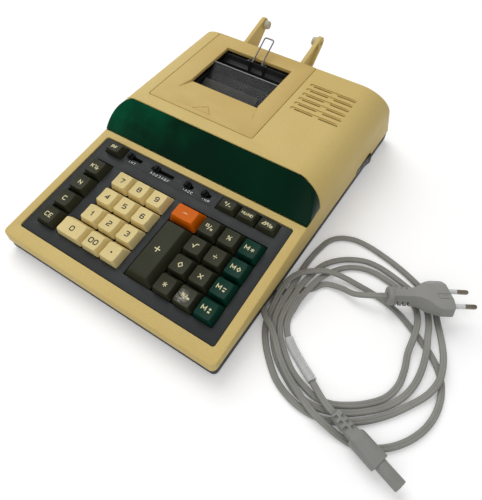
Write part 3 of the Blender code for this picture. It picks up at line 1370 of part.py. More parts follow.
def make_mains_plug(axes):
    """Two-pin plug: collar, slotted neck, flat body with thin edges and two round pins."""
    half = PLUG_WIDTH / 2.0
    neck_end = PLUG_NECK_LENGTH
    reach = PLUG_SHOULDER - neck_end
    plan = [
        (PLUG_COLLAR / 2.0, PLUG_NECK),
        (neck_end, PLUG_NECK + 0.0005),
        (neck_end + 0.35 * reach, PLUG_NECK + 0.22 * (half - PLUG_NECK)),
        (neck_end + 0.75 * reach, PLUG_NECK + 0.75 * (half - PLUG_NECK)),
        (PLUG_SHOULDER, half),
        (PLUG_LENGTH - PLUG_CORNER, half),
        (PLUG_LENGTH, half - PLUG_CORNER),
    ]
    thick = PLUG_THICKNESS / 2.0
    plug = outline("mains_plug", mirrored(plan), -thick, thick, PLAN_VIEW, axes, PLUG_GREY)
    side = [
        (0.0, PLUG_NECK),
        (neck_end, PLUG_NECK + 0.0004),
        (PLUG_SHOULDER, thick),
        (PLUG_LENGTH + PLUG_CORNER, thick),
    ]
    boolean(plug, outline("plug_side", mirrored(side), -PLUG_WIDTH, PLUG_WIDTH, EDGE_VIEW, axes), "INTERSECT")
    edge = PLUG_EDGE_THICKNESS / 2.0
    flat = PLUG_FLAT_WIDTH / 2.0
    section = mirrored([(-half - PLUG_CORNER, edge), (-flat, thick), (flat, thick), (half + PLUG_CORNER, edge)])
    boolean(plug, outline("plug_section", section, -PLUG_LENGTH, 2.0 * PLUG_LENGTH, END_VIEW, axes), "INTERSECT")
    collar = rod("plug_collar", PLUG_COLLAR_RADIUS, (0.0, 0.0, 0.0), (PLUG_COLLAR, 0.0, 0.0), axes, sides=24)
    boolean(plug, collar, "UNION")
    for index in range(3):
        start = PLUG_COLLAR + PLUG_SLOT_PITCH * (index + 0.6)
        for side_sign in (-1.0, 1.0):
            near = side_sign * (PLUG_NECK - PLUG_SLOT_DEPTH)
            far = side_sign * 2.0 * PLUG_NECK
            slot = box(
                f"plug_slot_{index}_{side_sign:+.0f}",
                (start, min(near, far), -PLUG_SLOT_DEPTH),
                (start + PLUG_SLOT, max(near, far), PLUG_SLOT_DEPTH),
                axes,
            )
            boolean(plug, slot)
    for side_sign in (-1.0, 1.0):
        root = (PLUG_LENGTH - PLUG_CORNER, side_sign * PIN_SPREAD / 2.0, 0.0)
        tip = (PLUG_LENGTH + PIN_LENGTH, side_sign * PIN_SPREAD_AT_TIPS / 2.0, 0.0)
        boolean(plug, rod(f"plug_pin_{side_sign:+.0f}", PIN_RADIUS, root, tip, axes, sides=16), "UNION")
    return plug


def stadium(middle, width, height, steps=6):
    """A flat outline with round ends."""
    radius = height / 2.0
    reach = width / 2.0 - radius
    points = arc((middle + reach, 0.0), radius, -90, 90, steps)
    return points + arc((middle - reach, 0.0), radius, 90, 270, steps)


def make_cord_connector(axes):
    """The figure-eight connector: notched strain relief, round shoulders, body and nose."""
    half = CONNECTOR_WIDTH / 2.0
    relief = RELIEF_WIDTH / 2.0
    shoulder = RELIEF_WIDTH_AT_BODY / 2.0
    reach = CONNECTOR_SHOULDER - RELIEF_LENGTH
    plan = [(0.0, relief), (RELIEF_LENGTH, shoulder)]
    for step in range(1, 5):
        angle = math.radians(90.0 * step / 4.0)
        along = RELIEF_LENGTH + reach * (1.0 - math.cos(angle))
        plan.append((along, shoulder + (half - shoulder) * math.sin(angle)))
    plan += [(CONNECTOR_BODY_END - PLUG_CORNER / 2.0, half), (CONNECTOR_BODY_END, half - PLUG_CORNER / 2.0)]
    thick = CONNECTOR_THICKNESS / 2.0
    connector = outline("cord_connector", mirrored(plan), -thick, thick, PLAN_VIEW, axes, PLUG_GREY)
    relief_half = RELIEF_THICKNESS / 2.0
    side = [
        (-PLUG_CORNER, relief_half),
        (RELIEF_LENGTH, relief_half),
        (CONNECTOR_SHOULDER, thick),
        (CONNECTOR_LENGTH, thick),
    ]
    boolean(connector, outline("connector_side", mirrored(side), -half * 2.0, half * 2.0, EDGE_VIEW, axes), "INTERSECT")
    section = stadium(0.0, CONNECTOR_WIDTH, CONNECTOR_THICKNESS)
    ends = (-PLUG_CORNER, CONNECTOR_BODY_END + PLUG_CORNER)
    boolean(connector, outline("connector_section", section, *ends, END_VIEW, axes), "INTERSECT")
    nose_section = stadium(0.0, NOSE_WIDTH, NOSE_THICKNESS)
    nose_ends = (CONNECTOR_BODY_END - PLUG_CORNER, CONNECTOR_LENGTH)
    boolean(connector, outline("connector_nose", nose_section, *nose_ends, END_VIEW, axes), "UNION")
    for index in range(3):
        for row, side_sign in enumerate((-1.0, 1.0)):
            start = RELIEF_NOTCH_PITCH * (index + 0.35 + 0.5 * row)
            for face in (-1.0, 1.0):
                near = face * (relief_half - RELIEF_NOTCH_DEPTH)
                across = (side_sign * 0.0009, side_sign * 0.0060)
                notch = box(
                    f"relief_notch_{index}_{row}_{face:+.0f}",
                    (start, min(across), min(near, face * half)),
                    (start + RELIEF_NOTCH, max(across), max(near, face * half)),
                    axes,
                )
                boolean(connector, notch)
    spread = (NOSE_WIDTH - NOSE_THICKNESS) / 2.0
    for side_sign in (-1.0, 1.0):
        hole = rod(
            f"nose_hole_{side_sign:+.0f}",
            NOSE_HOLE_RADIUS,
            (CONNECTOR_LENGTH - NOSE_HOLE_DEPTH, side_sign * spread, 0.0),
            (CONNECTOR_LENGTH + NOSE_HOLE_DEPTH, side_sign * spread, 0.0),
            axes,
            sides=12,
        )
        boolean(connector, hole)
    return connector


def smooth_line(points, step):
    """Points about a step apart on a smooth curve through hand-chosen points."""
    points = [Vector(point) for point in points]
    points = [2.0 * points[0] - points[1]] + points + [2.0 * points[-1] - points[-2]]
    line = []
    for a, b, c, d in zip(points, points[1:], points[2:], points[3:]):
        knots = [0.0]
        for start, end in ((a, b), (b, c), (c, d)):
            knots.append(knots[-1] + math.sqrt((end - start).length))
        count = max(2, round((c - b).length / (step / 8.0)))
        for index in range(count):
            t = knots[1] + (knots[2] - knots[1]) * index / count
            ab = a.lerp(b, (t - knots[0]) / (knots[1] - knots[0]))
            bc = b.lerp(c, (t - knots[1]) / (knots[2] - knots[1]))
            cd = c.lerp(d, (t - knots[2]) / (knots[3] - knots[2]))
            abc = ab.lerp(bc, (t - knots[0]) / (knots[2] - knots[0]))
            bcd = bc.lerp(cd, (t - knots[1]) / (knots[3] - knots[1]))
            line.append(abc.lerp(bcd, (t - knots[1]) / (knots[2] - knots[1])))
    line.append(points[-2])
    return evenly_spaced(line, step)


def evenly_spaced(line, step):
    """The same line with its points at equal distances."""
    lengths = [0.0]
    for start, end in zip(line, line[1:]):
        lengths.append(lengths[-1] + (end - start).length)
    count = max(2, round(lengths[-1] / step))
    spaced = []
    index = 0
    for number in range(count + 1):
        wanted = lengths[-1] * number / count
        while index < len(line) - 2 and lengths[index + 1] < wanted:
            index += 1
        share = (wanted - lengths[index]) / (lengths[index + 1] - lengths[index])
        spaced.append(line[index].lerp(line[index + 1], share))
    return spaced


def least_gap(line, radius, apart):
    """Least distance between the surfaces of two stretches that lie apart along the line."""
    least = 1.0
    for index, (start, end) in enumerate(zip(line, line[1:])):
        for other in range(index + apart, len(line) - 1):
            distance = segment_distance(start, end, line[other], line[other + 1])
            least = min(least, distance - 2.0 * radius)
    return least


def segment_distance(a, b, c, d):
    """Least distance between two straight stretches."""
    if (a - c).length > (b - a).length + (d - c).length + 4.0 * CORD_RADIUS:
        return (a - c).length
    best = 1.0
    for number in range(9):
        p = a.lerp(b, number / 8.0)
        along = d - c
        t = max(0.0, min(1.0, (p - c).dot(along) / along.length_squared))
        best = min(best, (p - (c + along * t)).length)
    return best


def make_power_cord(plug_axes, connector_axes):
    """The loose cord, from the connector's strain relief to the plug's collar."""
    ends = []
    for axes in (connector_axes, plug_axes):
        place = axes.matrix_world
        near = place @ Vector((-CORD_JOINT_GAP, 0.0, 0.0))
        far = place @ Vector((-CORD_JOINT_GAP - CORD_STRAIGHT, 0.0, 0.0))
        ends.append((near, far))
    route = [ends[0][0], ends[0][1], *CORD_ROUTE, ends[1][1], ends[1][0]]
    line = smooth_line(route, CORD_STEP)
    length = sum((end - start).length for start, end in zip(line, line[1:]))
    gap = least_gap(line, CORD_RADIUS, 3)
    print(f"cord length {length:.3f} m, least gap to itself {gap * 1000.0:.2f} mm")
    print(f"cord wide enough apart: {gap > CORD_LEAST_GAP}, lowest point {min(p.z for p in line) * 1000.0:.2f} mm")
    return wire("power_cord", line, CORD_RADIUS, None, CORD_GREY, roundness=1)


make_top_case()
make_base_pan()
make_key_panel()
make_key_guide()
for key in KEYS:
    make_key(key)
make_slide_switches()
make_display_window()
make_printer_cover()
make_printer_frame()
make_shafted("platen_roller", ROLLER_RADIUS, ROLLER_RUN, ROLLER_HEIGHT, RUBBER)
make_shafted("print_drum", DRUM_RADIUS, DRUM_RUN, DRUM_HEIGHT, CORE_GREY)
make_tear_bar()
make_paper_bail()
make_paper_arm("paper_arm_left", ARM_LEFT_OUTER, 1.0)
make_paper_arm("paper_arm_right", ARM_RIGHT_OUTER, -1.0)
make_arm_peg("arm_peg_left", ARM_LEFT_OUTER, 1.0)
make_arm_peg("arm_peg_right", ARM_RIGHT_OUTER, -1.0)
make_power_rocker()
make_mains_inlet()
make_main_board()
make_transformer()
plug_axes = make_lead_frame("plug_axes", PLUG_PLACE, PLUG_HEADING, PLUG_PITCH, PLUG_ROLL)
connector_axes = make_lead_frame("connector_axes", CONNECTOR_PLACE, CONNECTOR_HEADING)
make_mains_plug(plug_axes)
make_cord_connector(connector_axes)
bpy.context.view_layer.update()
make_power_cord(plug_axes, connector_axes)
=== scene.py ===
"""The looks of a desk calculating machine with a built-in printer, and of its loose mains lead.

Metres, +Z up, X to the right along the front edge, Y towards the back, in the packed model's frame.
Each operator builds one piece or one group of like pieces; main() runs them all in order.
"""
import json
import math

import bmesh
import bpy
from bpy.props import FloatProperty, FloatVectorProperty, PointerProperty
from mathutils import Matrix, Vector, noise

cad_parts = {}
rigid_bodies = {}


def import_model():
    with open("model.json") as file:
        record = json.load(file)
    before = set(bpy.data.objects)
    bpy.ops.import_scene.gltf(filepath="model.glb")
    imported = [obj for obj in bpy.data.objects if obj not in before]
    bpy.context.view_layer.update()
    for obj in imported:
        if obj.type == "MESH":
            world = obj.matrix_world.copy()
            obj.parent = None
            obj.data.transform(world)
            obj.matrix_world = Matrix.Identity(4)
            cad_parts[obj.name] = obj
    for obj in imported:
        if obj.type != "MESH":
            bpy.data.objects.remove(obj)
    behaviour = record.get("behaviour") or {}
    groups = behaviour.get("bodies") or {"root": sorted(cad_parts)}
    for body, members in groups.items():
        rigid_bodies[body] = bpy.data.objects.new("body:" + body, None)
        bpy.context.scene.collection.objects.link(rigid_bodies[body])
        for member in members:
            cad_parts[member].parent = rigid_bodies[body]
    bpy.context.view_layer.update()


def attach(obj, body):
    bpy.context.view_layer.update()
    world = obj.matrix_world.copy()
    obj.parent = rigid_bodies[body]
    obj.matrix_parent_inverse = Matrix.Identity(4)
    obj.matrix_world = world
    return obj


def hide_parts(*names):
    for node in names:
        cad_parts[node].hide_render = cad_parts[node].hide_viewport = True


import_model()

bl_info = {
    "name": "Desk calculating machine",
    "version": (1, 0, 0),
    "blender": (4, 5, 0),
    "location": "View3D > Sidebar > Machine",
    "description": "Builds a printing desk calculating machine and its mains lead, piece by piece",
    "category": "Add Mesh",
}

# Case, as the packed model has it
CASE_DEPTH = 0.3200
HALF_WIDTH = 0.1075
FRONT_Y = -0.1625
WALL = 0.0025
CASE_FOOT = 0.0115
FRONT_HEIGHT = 0.0216
KEYBOARD_SLOPE = math.radians(8.65)
WINDOW_FOOT_RUN = 0.1298
WINDOW_TOP_RUN = 0.1516
WINDOW_TOP_HEIGHT = 0.0716
ROOF_SLOPE = math.radians(2.87)
ROOF_REAR_RUN = 0.2790
HOUSING_RADIUS = 0.0289
SEAT_GAP = 0.0003
FOOT_HEIGHT = 0.0030
WINDOW_FOOT_HEIGHT = FRONT_HEIGHT + WINDOW_FOOT_RUN * math.tan(KEYBOARD_SLOPE)
WINDOW_BACK_HEIGHT = FRONT_HEIGHT + WINDOW_TOP_RUN * math.tan(KEYBOARD_SLOPE)
ROOF_REAR_HEIGHT = WINDOW_TOP_HEIGHT + (ROOF_REAR_RUN - WINDOW_TOP_RUN) * math.tan(ROOF_SLOPE)
ROOF_LENGTH = (ROOF_REAR_RUN - WINDOW_TOP_RUN) / math.cos(ROOF_SLOPE)
REAR_TAN = (CASE_DEPTH - ROOF_REAR_RUN) / (ROOF_REAR_HEIGHT - CASE_FOOT)
BEYOND = 0.0500

# Printer cover and its opening, in the roof's own run
COVER = (-0.0783, 0.0318, 0.0129)
COVER_THICKNESS = 0.0033
COVER_LEDGE = 0.0042
PAPER = (-0.0579, 0.0145, 0.0505, 0.1104)
RAMP_LENGTH = 0.0165
RAMP_DEPTH = 0.0022

# Printer
FRAME_LEFT = -0.0622
FRAME_RIGHT = 0.0192
FRAME_PLATE = 0.0020
ROLLER = (0.2400, 0.0500, 0.0090)
DRUM = (0.2180, 0.0350, 0.0075)
BACK_PLATE_RUN = 0.2550
BAIL = (-0.0256, -0.0156, 0.2565, 0.0752, 0.0265)
BAIL_LEAN = math.radians(34.0)
BAIL_BEND = 0.0018
ARM_THICKNESS = 0.0045
ARM_TIP = (0.3190, 0.0790, 0.0060)

# Axes of the machine, of its sloped keyboard and of its sloped roof
LEVEL = Matrix.Identity(4)
MACHINE = Matrix.Translation((0.0, FRONT_Y, 0.0))
KEYBOARD = Matrix.Translation((0.0, FRONT_Y, FRONT_HEIGHT)) @ Matrix.Rotation(KEYBOARD_SLOPE, 4, "X")
ROOF_START = (0.0, FRONT_Y + WINDOW_TOP_RUN, WINDOW_TOP_HEIGHT)
ROOF = Matrix.Translation(ROOF_START) @ Matrix.Rotation(ROOF_SLOPE, 4, "X")

# Turns for outlines that are drawn as run and height, or as X and height
SIDE_VIEW = Matrix(((0, 0, 1, 0), (1, 0, 0, 0), (0, 1, 0, 0), (0, 0, 0, 1)))
FRONT_VIEW = Matrix(((1, 0, 0, 0), (0, 0, -1, 0), (0, 1, 0, 0), (0, 0, 0, 1)))
MACHINE_SIDE = MACHINE @ SIDE_VIEW
MACHINE_FRONT = MACHINE @ FRONT_VIEW


# Shapes
def shape(name, bm, place=None, outward=True):
    """A plain mesh object from a bmesh, with its place in its mesh."""
    if place is not None:
        bmesh.ops.transform(bm, matrix=place, verts=bm.verts)
    if outward:
        bmesh.ops.recalc_face_normals(bm, faces=bm.faces)
    mesh = bpy.data.meshes.new(name)
    bm.to_mesh(mesh)
    bm.free()
    made = bpy.data.objects.new(name, mesh)
    bpy.context.scene.collection.objects.link(made)
    return made


def arc(centre, radius, start, end, steps):
    """Points on an arc, angles in degrees."""
    points = []
    for step in range(steps + 1):
        angle = math.radians(start + (end - start) * step / steps)
        points.append((centre[0] + radius * math.cos(angle), centre[1] + radius * math.sin(angle)))
    return points


def rounded(low, high, radius, steps=5):
    """A rectangle's outline with round corners, anticlockwise."""
    points = []
    corners = ((high[0], low[1], -90), (high[0], high[1], 0), (low[0], high[1], 90), (low[0], low[1], 180))
    for x, y, start in corners:
        across = x - math.copysign(radius, x - low[0] - radius)
        along = y - math.copysign(radius, y - low[1] - radius)
        points += arc((across, along), radius, start, start + 90, steps)
    return points


def prism(name, points, low, high, place):
    """A flat outline given thickness from low to high along its own third axis."""
    bm = bmesh.new()
    face = bm.faces.new([bm.verts.new((x, y, low)) for x, y in points])
    grown = bmesh.ops.extrude_face_region(bm, geom=[face])
    top = [part for part in grown["geom"] if isinstance(part, bmesh.types.BMVert)]
    bmesh.ops.translate(bm, vec=(0.0, 0.0, high - low), verts=top)
    return shape(name, bm, place)


def block(name, low, high, place, draft=(0.0, 0.0)):
    """A box between two corners, narrower at its foot by the draft."""
    low, high = Vector(low), Vector(high)
    bm = bmesh.new()
    bmesh.ops.create_cube(bm, size=1.0)
    bmesh.ops.scale(bm, vec=high - low, verts=bm.verts)
    for vert in bm.verts:
        if vert.co.z < 0.0:
            vert.co.x -= math.copysign(draft[0], vert.co.x)
            vert.co.y -= math.copysign(draft[1], vert.co.y)
    bmesh.ops.translate(bm, vec=(low + high) / 2.0, verts=bm.verts)
    return shape(name, bm, place)


def turned(name, profile, start, axis, place, sides=48):
    """A turned shape about a line: distance along it and radius of each profile point."""
    lean = Vector(axis).normalized().to_track_quat("Z", "Y").to_matrix().to_4x4()
    bm = bmesh.new()
    rings = []
    for along, radius in profile:
        if radius < 0.000001:
            rings.append([bm.verts.new((0.0, 0.0, along))])
            continue
        ring = []
        for index in range(sides):
            angle = math.tau * index / sides
            ring.append(bm.verts.new((radius * math.cos(angle), radius * math.sin(angle), along)))
        rings.append(ring)
    for near, far in zip(rings, rings[1:]):
        for index in range(sides):
            after = (index + 1) % sides
            corners = [near[turn % len(near)] for turn in (index, after)]
            corners += [far[turn % len(far)] for turn in (after, index)]
            unique = list(dict.fromkeys(corners))
            if len(unique) > 2:
                bm.faces.new(unique)
    for ring in (rings[0], rings[-1]):
        if len(ring) > 1:
            bm.faces.new(ring)
    return shape(name, bm, place @ Matrix.Translation(start) @ lean)


def button(length, radius, edge, steps=4):
    """Profile of a solid cylinder with rounded ends, for turned()."""
    points = [(0.0, 0.0)]
    for step in range(steps + 1):
        angle = math.radians(90.0 * step / steps)
        points.append((edge * (1.0 - math.cos(angle)), radius - edge + edge * math.sin(angle)))
    for step in range(steps + 1):
        angle = math.radians(90.0 * (1.0 - step / steps))
        points.append((length - edge * (1.0 - math.cos(angle)), radius - edge + edge * math.sin(angle)))
    return points + [(length, 0.0)]


def inset_outline(points, distances):
    """Move each side of an anticlockwise outline inwards by its own distance."""
    count = len(points)
    sides = []
    for index in range(count):
        start, end = Vector(points[index]), Vector(points[(index + 1) % count])
        along = (end - start).normalized()
        sides.append((start + Vector((-along.y, along.x)) * distances[index], along))
    moved = []
    for index in range(count):
        (a, along_a), (b, along_b) = sides[index - 1], sides[index]
        cross = along_a.x * along_b.y - along_a.y * along_b.x
        reach = ((b.x - a.x) * along_b.y - (b.y - a.y) * along_b.x) / cross
        corner = a + along_a * reach
        moved.append((corner.x, corner.y))
    return moved


def step_with(target, kind, tool):
    """Add one Boolean step to a target."""
    made = target.modifiers.new(kind.lower(), "BOOLEAN")
    made.operation = kind
    made.object = tool
    made.solver = "EXACT"
    tool.hide_render = True
    return target


def cut(target, *tools):
    """Take tools out of a target."""
    for tool in tools:
        step_with(target, "DIFFERENCE", tool)
    return target


def weld_to(target, *tools):
    """Add tools to a target."""
    for tool in tools:
        step_with(target, "UNION", tool)
    return target


def keep(target, tool):
    """Keep what a target shares with a tool."""
    return step_with(target, "INTERSECT", tool)


def soften(target, width, segments=3, angle=30.0):
    """Round a target's edges that are sharper than an angle."""
    made = target.modifiers.new("bevel", "BEVEL")
    made.width = width
    made.segments = segments
    made.limit_method = "ANGLE"
    made.angle_limit = math.radians(angle)
    made.use_clamp_overlap = False
    made.harden_normals = False
    return target


def smoothed(target, angle):
    """Smooth shading, sharp where faces meet at more than an angle."""
    target.data.shade_smooth()
    target.data.set_sharp_from_angle(angle=math.radians(angle))
    return target


def settle(target, angle=35.0):
    """Turn a target and its steps into a plain mesh, and drop the tools that it used."""
    tools = [step.object for step in target.modifiers if step.type == "BOOLEAN"]
    bpy.context.view_layer.update()
    evaluated = target.evaluated_get(bpy.context.evaluated_depsgraph_get())
    mesh = bpy.data.meshes.new_from_object(evaluated)
    target.modifiers.clear()
    target.data = mesh
    for tool in tools:
        bpy.data.objects.remove(tool, do_unlink=True)
    return smoothed(target, angle)


def join(name, *objects):
    """One object from several, each keeping its own materials."""
    bm = bmesh.new()
    slots = []
    for one in objects:
        first = len(bm.faces)
        bm.from_mesh(one.data)
        bm.faces.ensure_lookup_table()
        finishes = list(one.data.materials) or [None]
        for face in bm.faces[first:]:
            finish = finishes[min(face.material_index, len(finishes) - 1)]
            if finish not in slots:
                slots.append(finish)
            face.material_index = slots.index(finish)
    made = shape(name, bm, outward=False)
    for finish in slots:
        made.data.materials.append(finish)
    for one in objects:
        bpy.data.objects.remove(one, do_unlink=True)
    return made


def paint(target, finish):
    """Give a piece one material."""
    target.data.materials.clear()
    target.data.materials.append(finish)
    return target


def place_piece(piece, body, nodes, slot):
    """Say which body a piece rides on and hide the nodes it stands for; its slot is not used."""
    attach(piece, body)
    if nodes:
        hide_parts(*nodes)
    return piece


def repeat_tree():
    """Node tree that sets one piece out in columns and rows, and gives the copies their finish."""
    found = bpy.data.node_groups.get("set_out_in_rows")
    if found:
        return found
    tree = bpy.data.node_groups.new("set_out_in_rows", "GeometryNodeTree")
    face = tree.interface
    face.new_socket("Geometry", in_out="INPUT", socket_type="NodeSocketGeometry")
    for name, kind in (
        ("Piece", "NodeSocketObject"),
        ("Columns", "NodeSocketInt"),
        ("Rows", "NodeSocketInt"),
        ("Column step", "NodeSocketFloat"),
        ("Row step", "NodeSocketFloat"),
        ("Finish", "NodeSocketMaterial"),
    ):
        face.new_socket(name, in_out="INPUT", socket_type=kind)
    face.new_socket("Geometry", in_out="OUTPUT", socket_type="NodeSocketGeometry")
    start = tree.nodes.new("NodeGroupInput")
    end = tree.nodes.new("NodeGroupOutput")
    piece = tree.nodes.new("GeometryNodeObjectInfo")
    piece.transform_space = "ORIGINAL"
    lines = []
    for count, step, along in (("Columns", "Column step", "X"), ("Rows", "Row step", "Y")):
        offset = tree.nodes.new("ShaderNodeCombineXYZ")
        line = tree.nodes.new("GeometryNodeMeshLine")
        line.mode = "OFFSET"
        tree.links.new(start.outputs[step], offset.inputs[along])
        tree.links.new(start.outputs[count], line.inputs["Count"])
        tree.links.new(offset.outputs["Vector"], line.inputs["Offset"])
        lines.append(line)
    across = tree.nodes.new("GeometryNodeInstanceOnPoints")
    down = tree.nodes.new("GeometryNodeInstanceOnPoints")
    real = tree.nodes.new("GeometryNodeRealizeInstances")
    finish = tree.nodes.new("GeometryNodeSetMaterial")
    tree.links.new(start.outputs["Piece"], piece.inputs["Object"])
    tree.links.new(lines[0].outputs["Mesh"], across.inputs["Points"])
    tree.links.new(piece.outputs["Geometry"], across.inputs["Instance"])
    tree.links.new(lines[1].outputs["Mesh"], down.inputs["Points"])
    tree.links.new(across.outputs["Instances"], down.inputs["Instance"])
    tree.links.new(down.outputs["Instances"], real.inputs["Geometry"])
    tree.links.new(real.outputs["Geometry"], finish.inputs["Geometry"])
    tree.links.new(start.outputs["Finish"], finish.inputs["Material"])
    tree.links.new(finish.outputs["Geometry"], end.inputs["Geometry"])
    return tree


def repeated(name, unit, counts, steps, place, finish=None):
    """Copies of a unit piece in columns and rows, as one plain mesh."""
    holder = bpy.data.objects.new(name, bpy.data.meshes.new(name))
    bpy.context.scene.collection.objects.link(holder)
    tree = repeat_tree()
    step = holder.modifiers.new("rows", "NODES")
    step.node_group = tree
    values = {
        "Piece": unit,
        "Columns": counts[0],
        "Rows": counts[1],
        "Column step": steps[0],
        "Row step": steps[1],
        "Finish": finish,
    }
    for socket in tree.interface.items_tree:
        if socket.in_out == "INPUT" and socket.name in values:
            step[socket.identifier] = values[socket.name]
    bpy.context.view_layer.update()
    evaluated = holder.evaluated_get(bpy.context.evaluated_depsgraph_get())
    mesh = bpy.data.meshes.new_from_object(evaluated)
    holder.modifiers.clear()
    holder.data = mesh
    mesh.transform(place)
    bpy.data.objects.remove(unit, do_unlink=True)
    return holder


# Materials
def feed(tree, made, inputs):
    """Give a node's inputs their values and links."""
    for key, value in inputs.items():
        if isinstance(value, bpy.types.NodeSocket):
            tree.links.new(value, made.inputs[key])
        else:
            made.inputs[key].default_value = value
    return made


def node(tree, kind, inputs=None, **settings):
    """One shader node with its settings, its values and its links."""
    made = tree.nodes.new(kind)
    for key, value in settings.items():
        setattr(made, key, value)
    return feed(tree, made, inputs or {})


def shade(colour, factor):
    """A colour made lighter or darker."""
    return [channel * factor for channel in colour]


def rgba(colour, factor=1.0):
    """A colour with full opacity, made lighter or darker."""
    return (*shade(colour, factor), 1.0)


def mixed(tree, factor, first, second):
    """Colour output that goes from first to second."""
    return node(tree, "ShaderNodeMix", {0: factor, 6: first, 7: second}, data_type="RGBA").outputs[2]


def combined(tree, first, second, operation="MULTIPLY"):
    """One value from two."""
    return node(tree, "ShaderNodeMath", {0: first, 1: second}, operation=operation).outputs["Value"]


def spread(tree, value, low, high, new_low=0.0, new_high=1.0):
    """A value mapped from one range to another."""
    ranges = {"Value": value, "From Min": low, "From Max": high, "To Min": new_low, "To Max": new_high}
    return node(tree, "ShaderNodeMapRange", ranges).outputs["Result"]


def clouds(tree, where, scale, detail=3.0, roughness=0.55):
    """Soft random pattern, scale in features a metre."""
    pattern = {"Vector": where, "Scale": scale, "Detail": detail, "Roughness": roughness}
    return node(tree, "ShaderNodeTexNoise", pattern).outputs["Fac"]


def bumped(tree, shader, height, strength, depth):
    """Fine relief from a pattern, its depth in metres."""
    bump = node(tree, "ShaderNodeBump", {"Height": height, "Strength": strength, "Distance": depth})
    feed(tree, shader, {"Normal": bump.outputs["Normal"]})


def new_material(name):
    """A material with its tree, its shader and its Object coordinates."""
    made = bpy.data.materials.new(name)
    made.use_nodes = True
    tree = made.node_tree
    where = node(tree, "ShaderNodeTexCoord").outputs["Object"]
    return made, tree, tree.nodes["Principled BSDF"], where


def moulded(name, colour, aged, roughness=0.5, grain=2200.0, depth=0.00004, patches=9.0, specks=0.25,
            shine=0.22):
    """Moulded plastic: aged patches, fine spark-eroded grain, dust specks and uneven gloss."""
    if name in bpy.data.materials:
        return bpy.data.materials[name]
    made, tree, shader, where = new_material(name)
    patch = spread(tree, clouds(tree, where, patches, 5.0), 0.35, 0.68)
    tinted = mixed(tree, patch, rgba(colour), rgba(aged))
    speck = spread(tree, clouds(tree, where, 900.0, 3.0), 0.48, 0.74, 0.0, specks)
    gloss = clouds(tree, where, 60.0, 4.0)
    feed(tree, shader, {
        "Base Color": mixed(tree, speck, tinted, rgba(colour, 0.55)),
        "Roughness": spread(tree, gloss, 0.3, 0.7, roughness - 0.05, roughness + 0.07),
        "Specular IOR Level": shine,
    })
    bumped(tree, shader, clouds(tree, where, grain, 2.0), 0.6, depth)
    return made


def metal(name, colour, roughness=0.25, streak=(3000.0, 60.0, 3000.0)):
    """Drawn or turned metal: fine streaks and a few dull places."""
    if name in bpy.data.materials:
        return bpy.data.materials[name]
    made, tree, shader, where = new_material(name)
    stretched = node(tree, "ShaderNodeMapping", {"Vector": where, "Scale": streak}).outputs["Vector"]
    lines = clouds(tree, stretched, 1.0, 3.0)
    dull = spread(tree, clouds(tree, where, 300.0, 4.0), 0.45, 0.75)
    feed(tree, shader, {
        "Base Color": mixed(tree, dull, rgba(colour), rgba(colour, 0.72)),
        "Roughness": spread(tree, lines, 0.3, 0.7, roughness * 0.7, roughness * 1.4),
        "Metallic": 1.0,
    })
    bumped(tree, shader, lines, 0.3, 0.00002)
    return made


def rubber(name, colour):
    """Ground rubber: dry bloom over a dark body."""
    bloom = [channel * 1.9 + 0.004 for channel in colour]
    return moulded(name, colour, bloom, 0.75, 3500.0, 0.00005, 40.0, 0.1)


def white_print():
    """The panel's and the power switch's white print."""
    return moulded("white_print", (0.78, 0.79, 0.79), (0.62, 0.63, 0.63), 0.5, 2400.0, 0.00002, 30.0)


ACRYLIC_IOR = 1.49


def tinted_window(name, deep, bright):
    """Deep green acrylic, polished, with paler green clouds: random in tone, and painted sheen that grows
    towards the left, where the main light stands.
    """
    made, tree, shader, where = new_material(name)
    broad = spread(tree, clouds(tree, where, 16.0, 3.0), 0.42, 0.66)
    across = node(tree, "ShaderNodeSeparateXYZ", {"Vector": where}).outputs["X"]
    # Painted sheen: the pale green grows from the right towards the left, where the main light stands.
    amount = combined(tree, broad, spread(tree, across, 0.020, -0.090, 0.10, 1.0))
    fleck = spread(tree, clouds(tree, where, 1300.0, 2.0), 0.35, 0.72)
    flecked = mixed(tree, fleck, rgba(bright, 0.75), rgba(bright, 1.5))
    feed(tree, shader, {
        "Base Color": mixed(tree, amount, rgba(deep), flecked),
        "Roughness": spread(tree, clouds(tree, where, 120.0, 5.0), 0.35, 0.75, 0.08, 0.20),
        "IOR": ACRYLIC_IOR,
        "Specular IOR Level": 0.06,
    })
    bumped(tree, shader, clouds(tree, where, 900.0, 3.0), 0.35, 0.00005)
    return made


def clear_sheet(name, colour, roughness, opaque, clear):
    """Clear plastic with fine wiping scratches."""
    made, tree, shader, where = new_material(name)
    haze = clouds(tree, where, 90.0, 4.0)
    feed(tree, shader, {
        "Base Color": mixed(tree, clouds(tree, where, 35.0), rgba(colour), rgba(colour, 0.88)),
        "Roughness": spread(tree, haze, 0.35, 0.75, roughness, roughness + 0.22),
        "Transmission Weight": clear,
        "IOR": ACRYLIC_IOR,
        "Specular IOR Level": 0.3,
        "Alpha": opaque,
    })
    return made


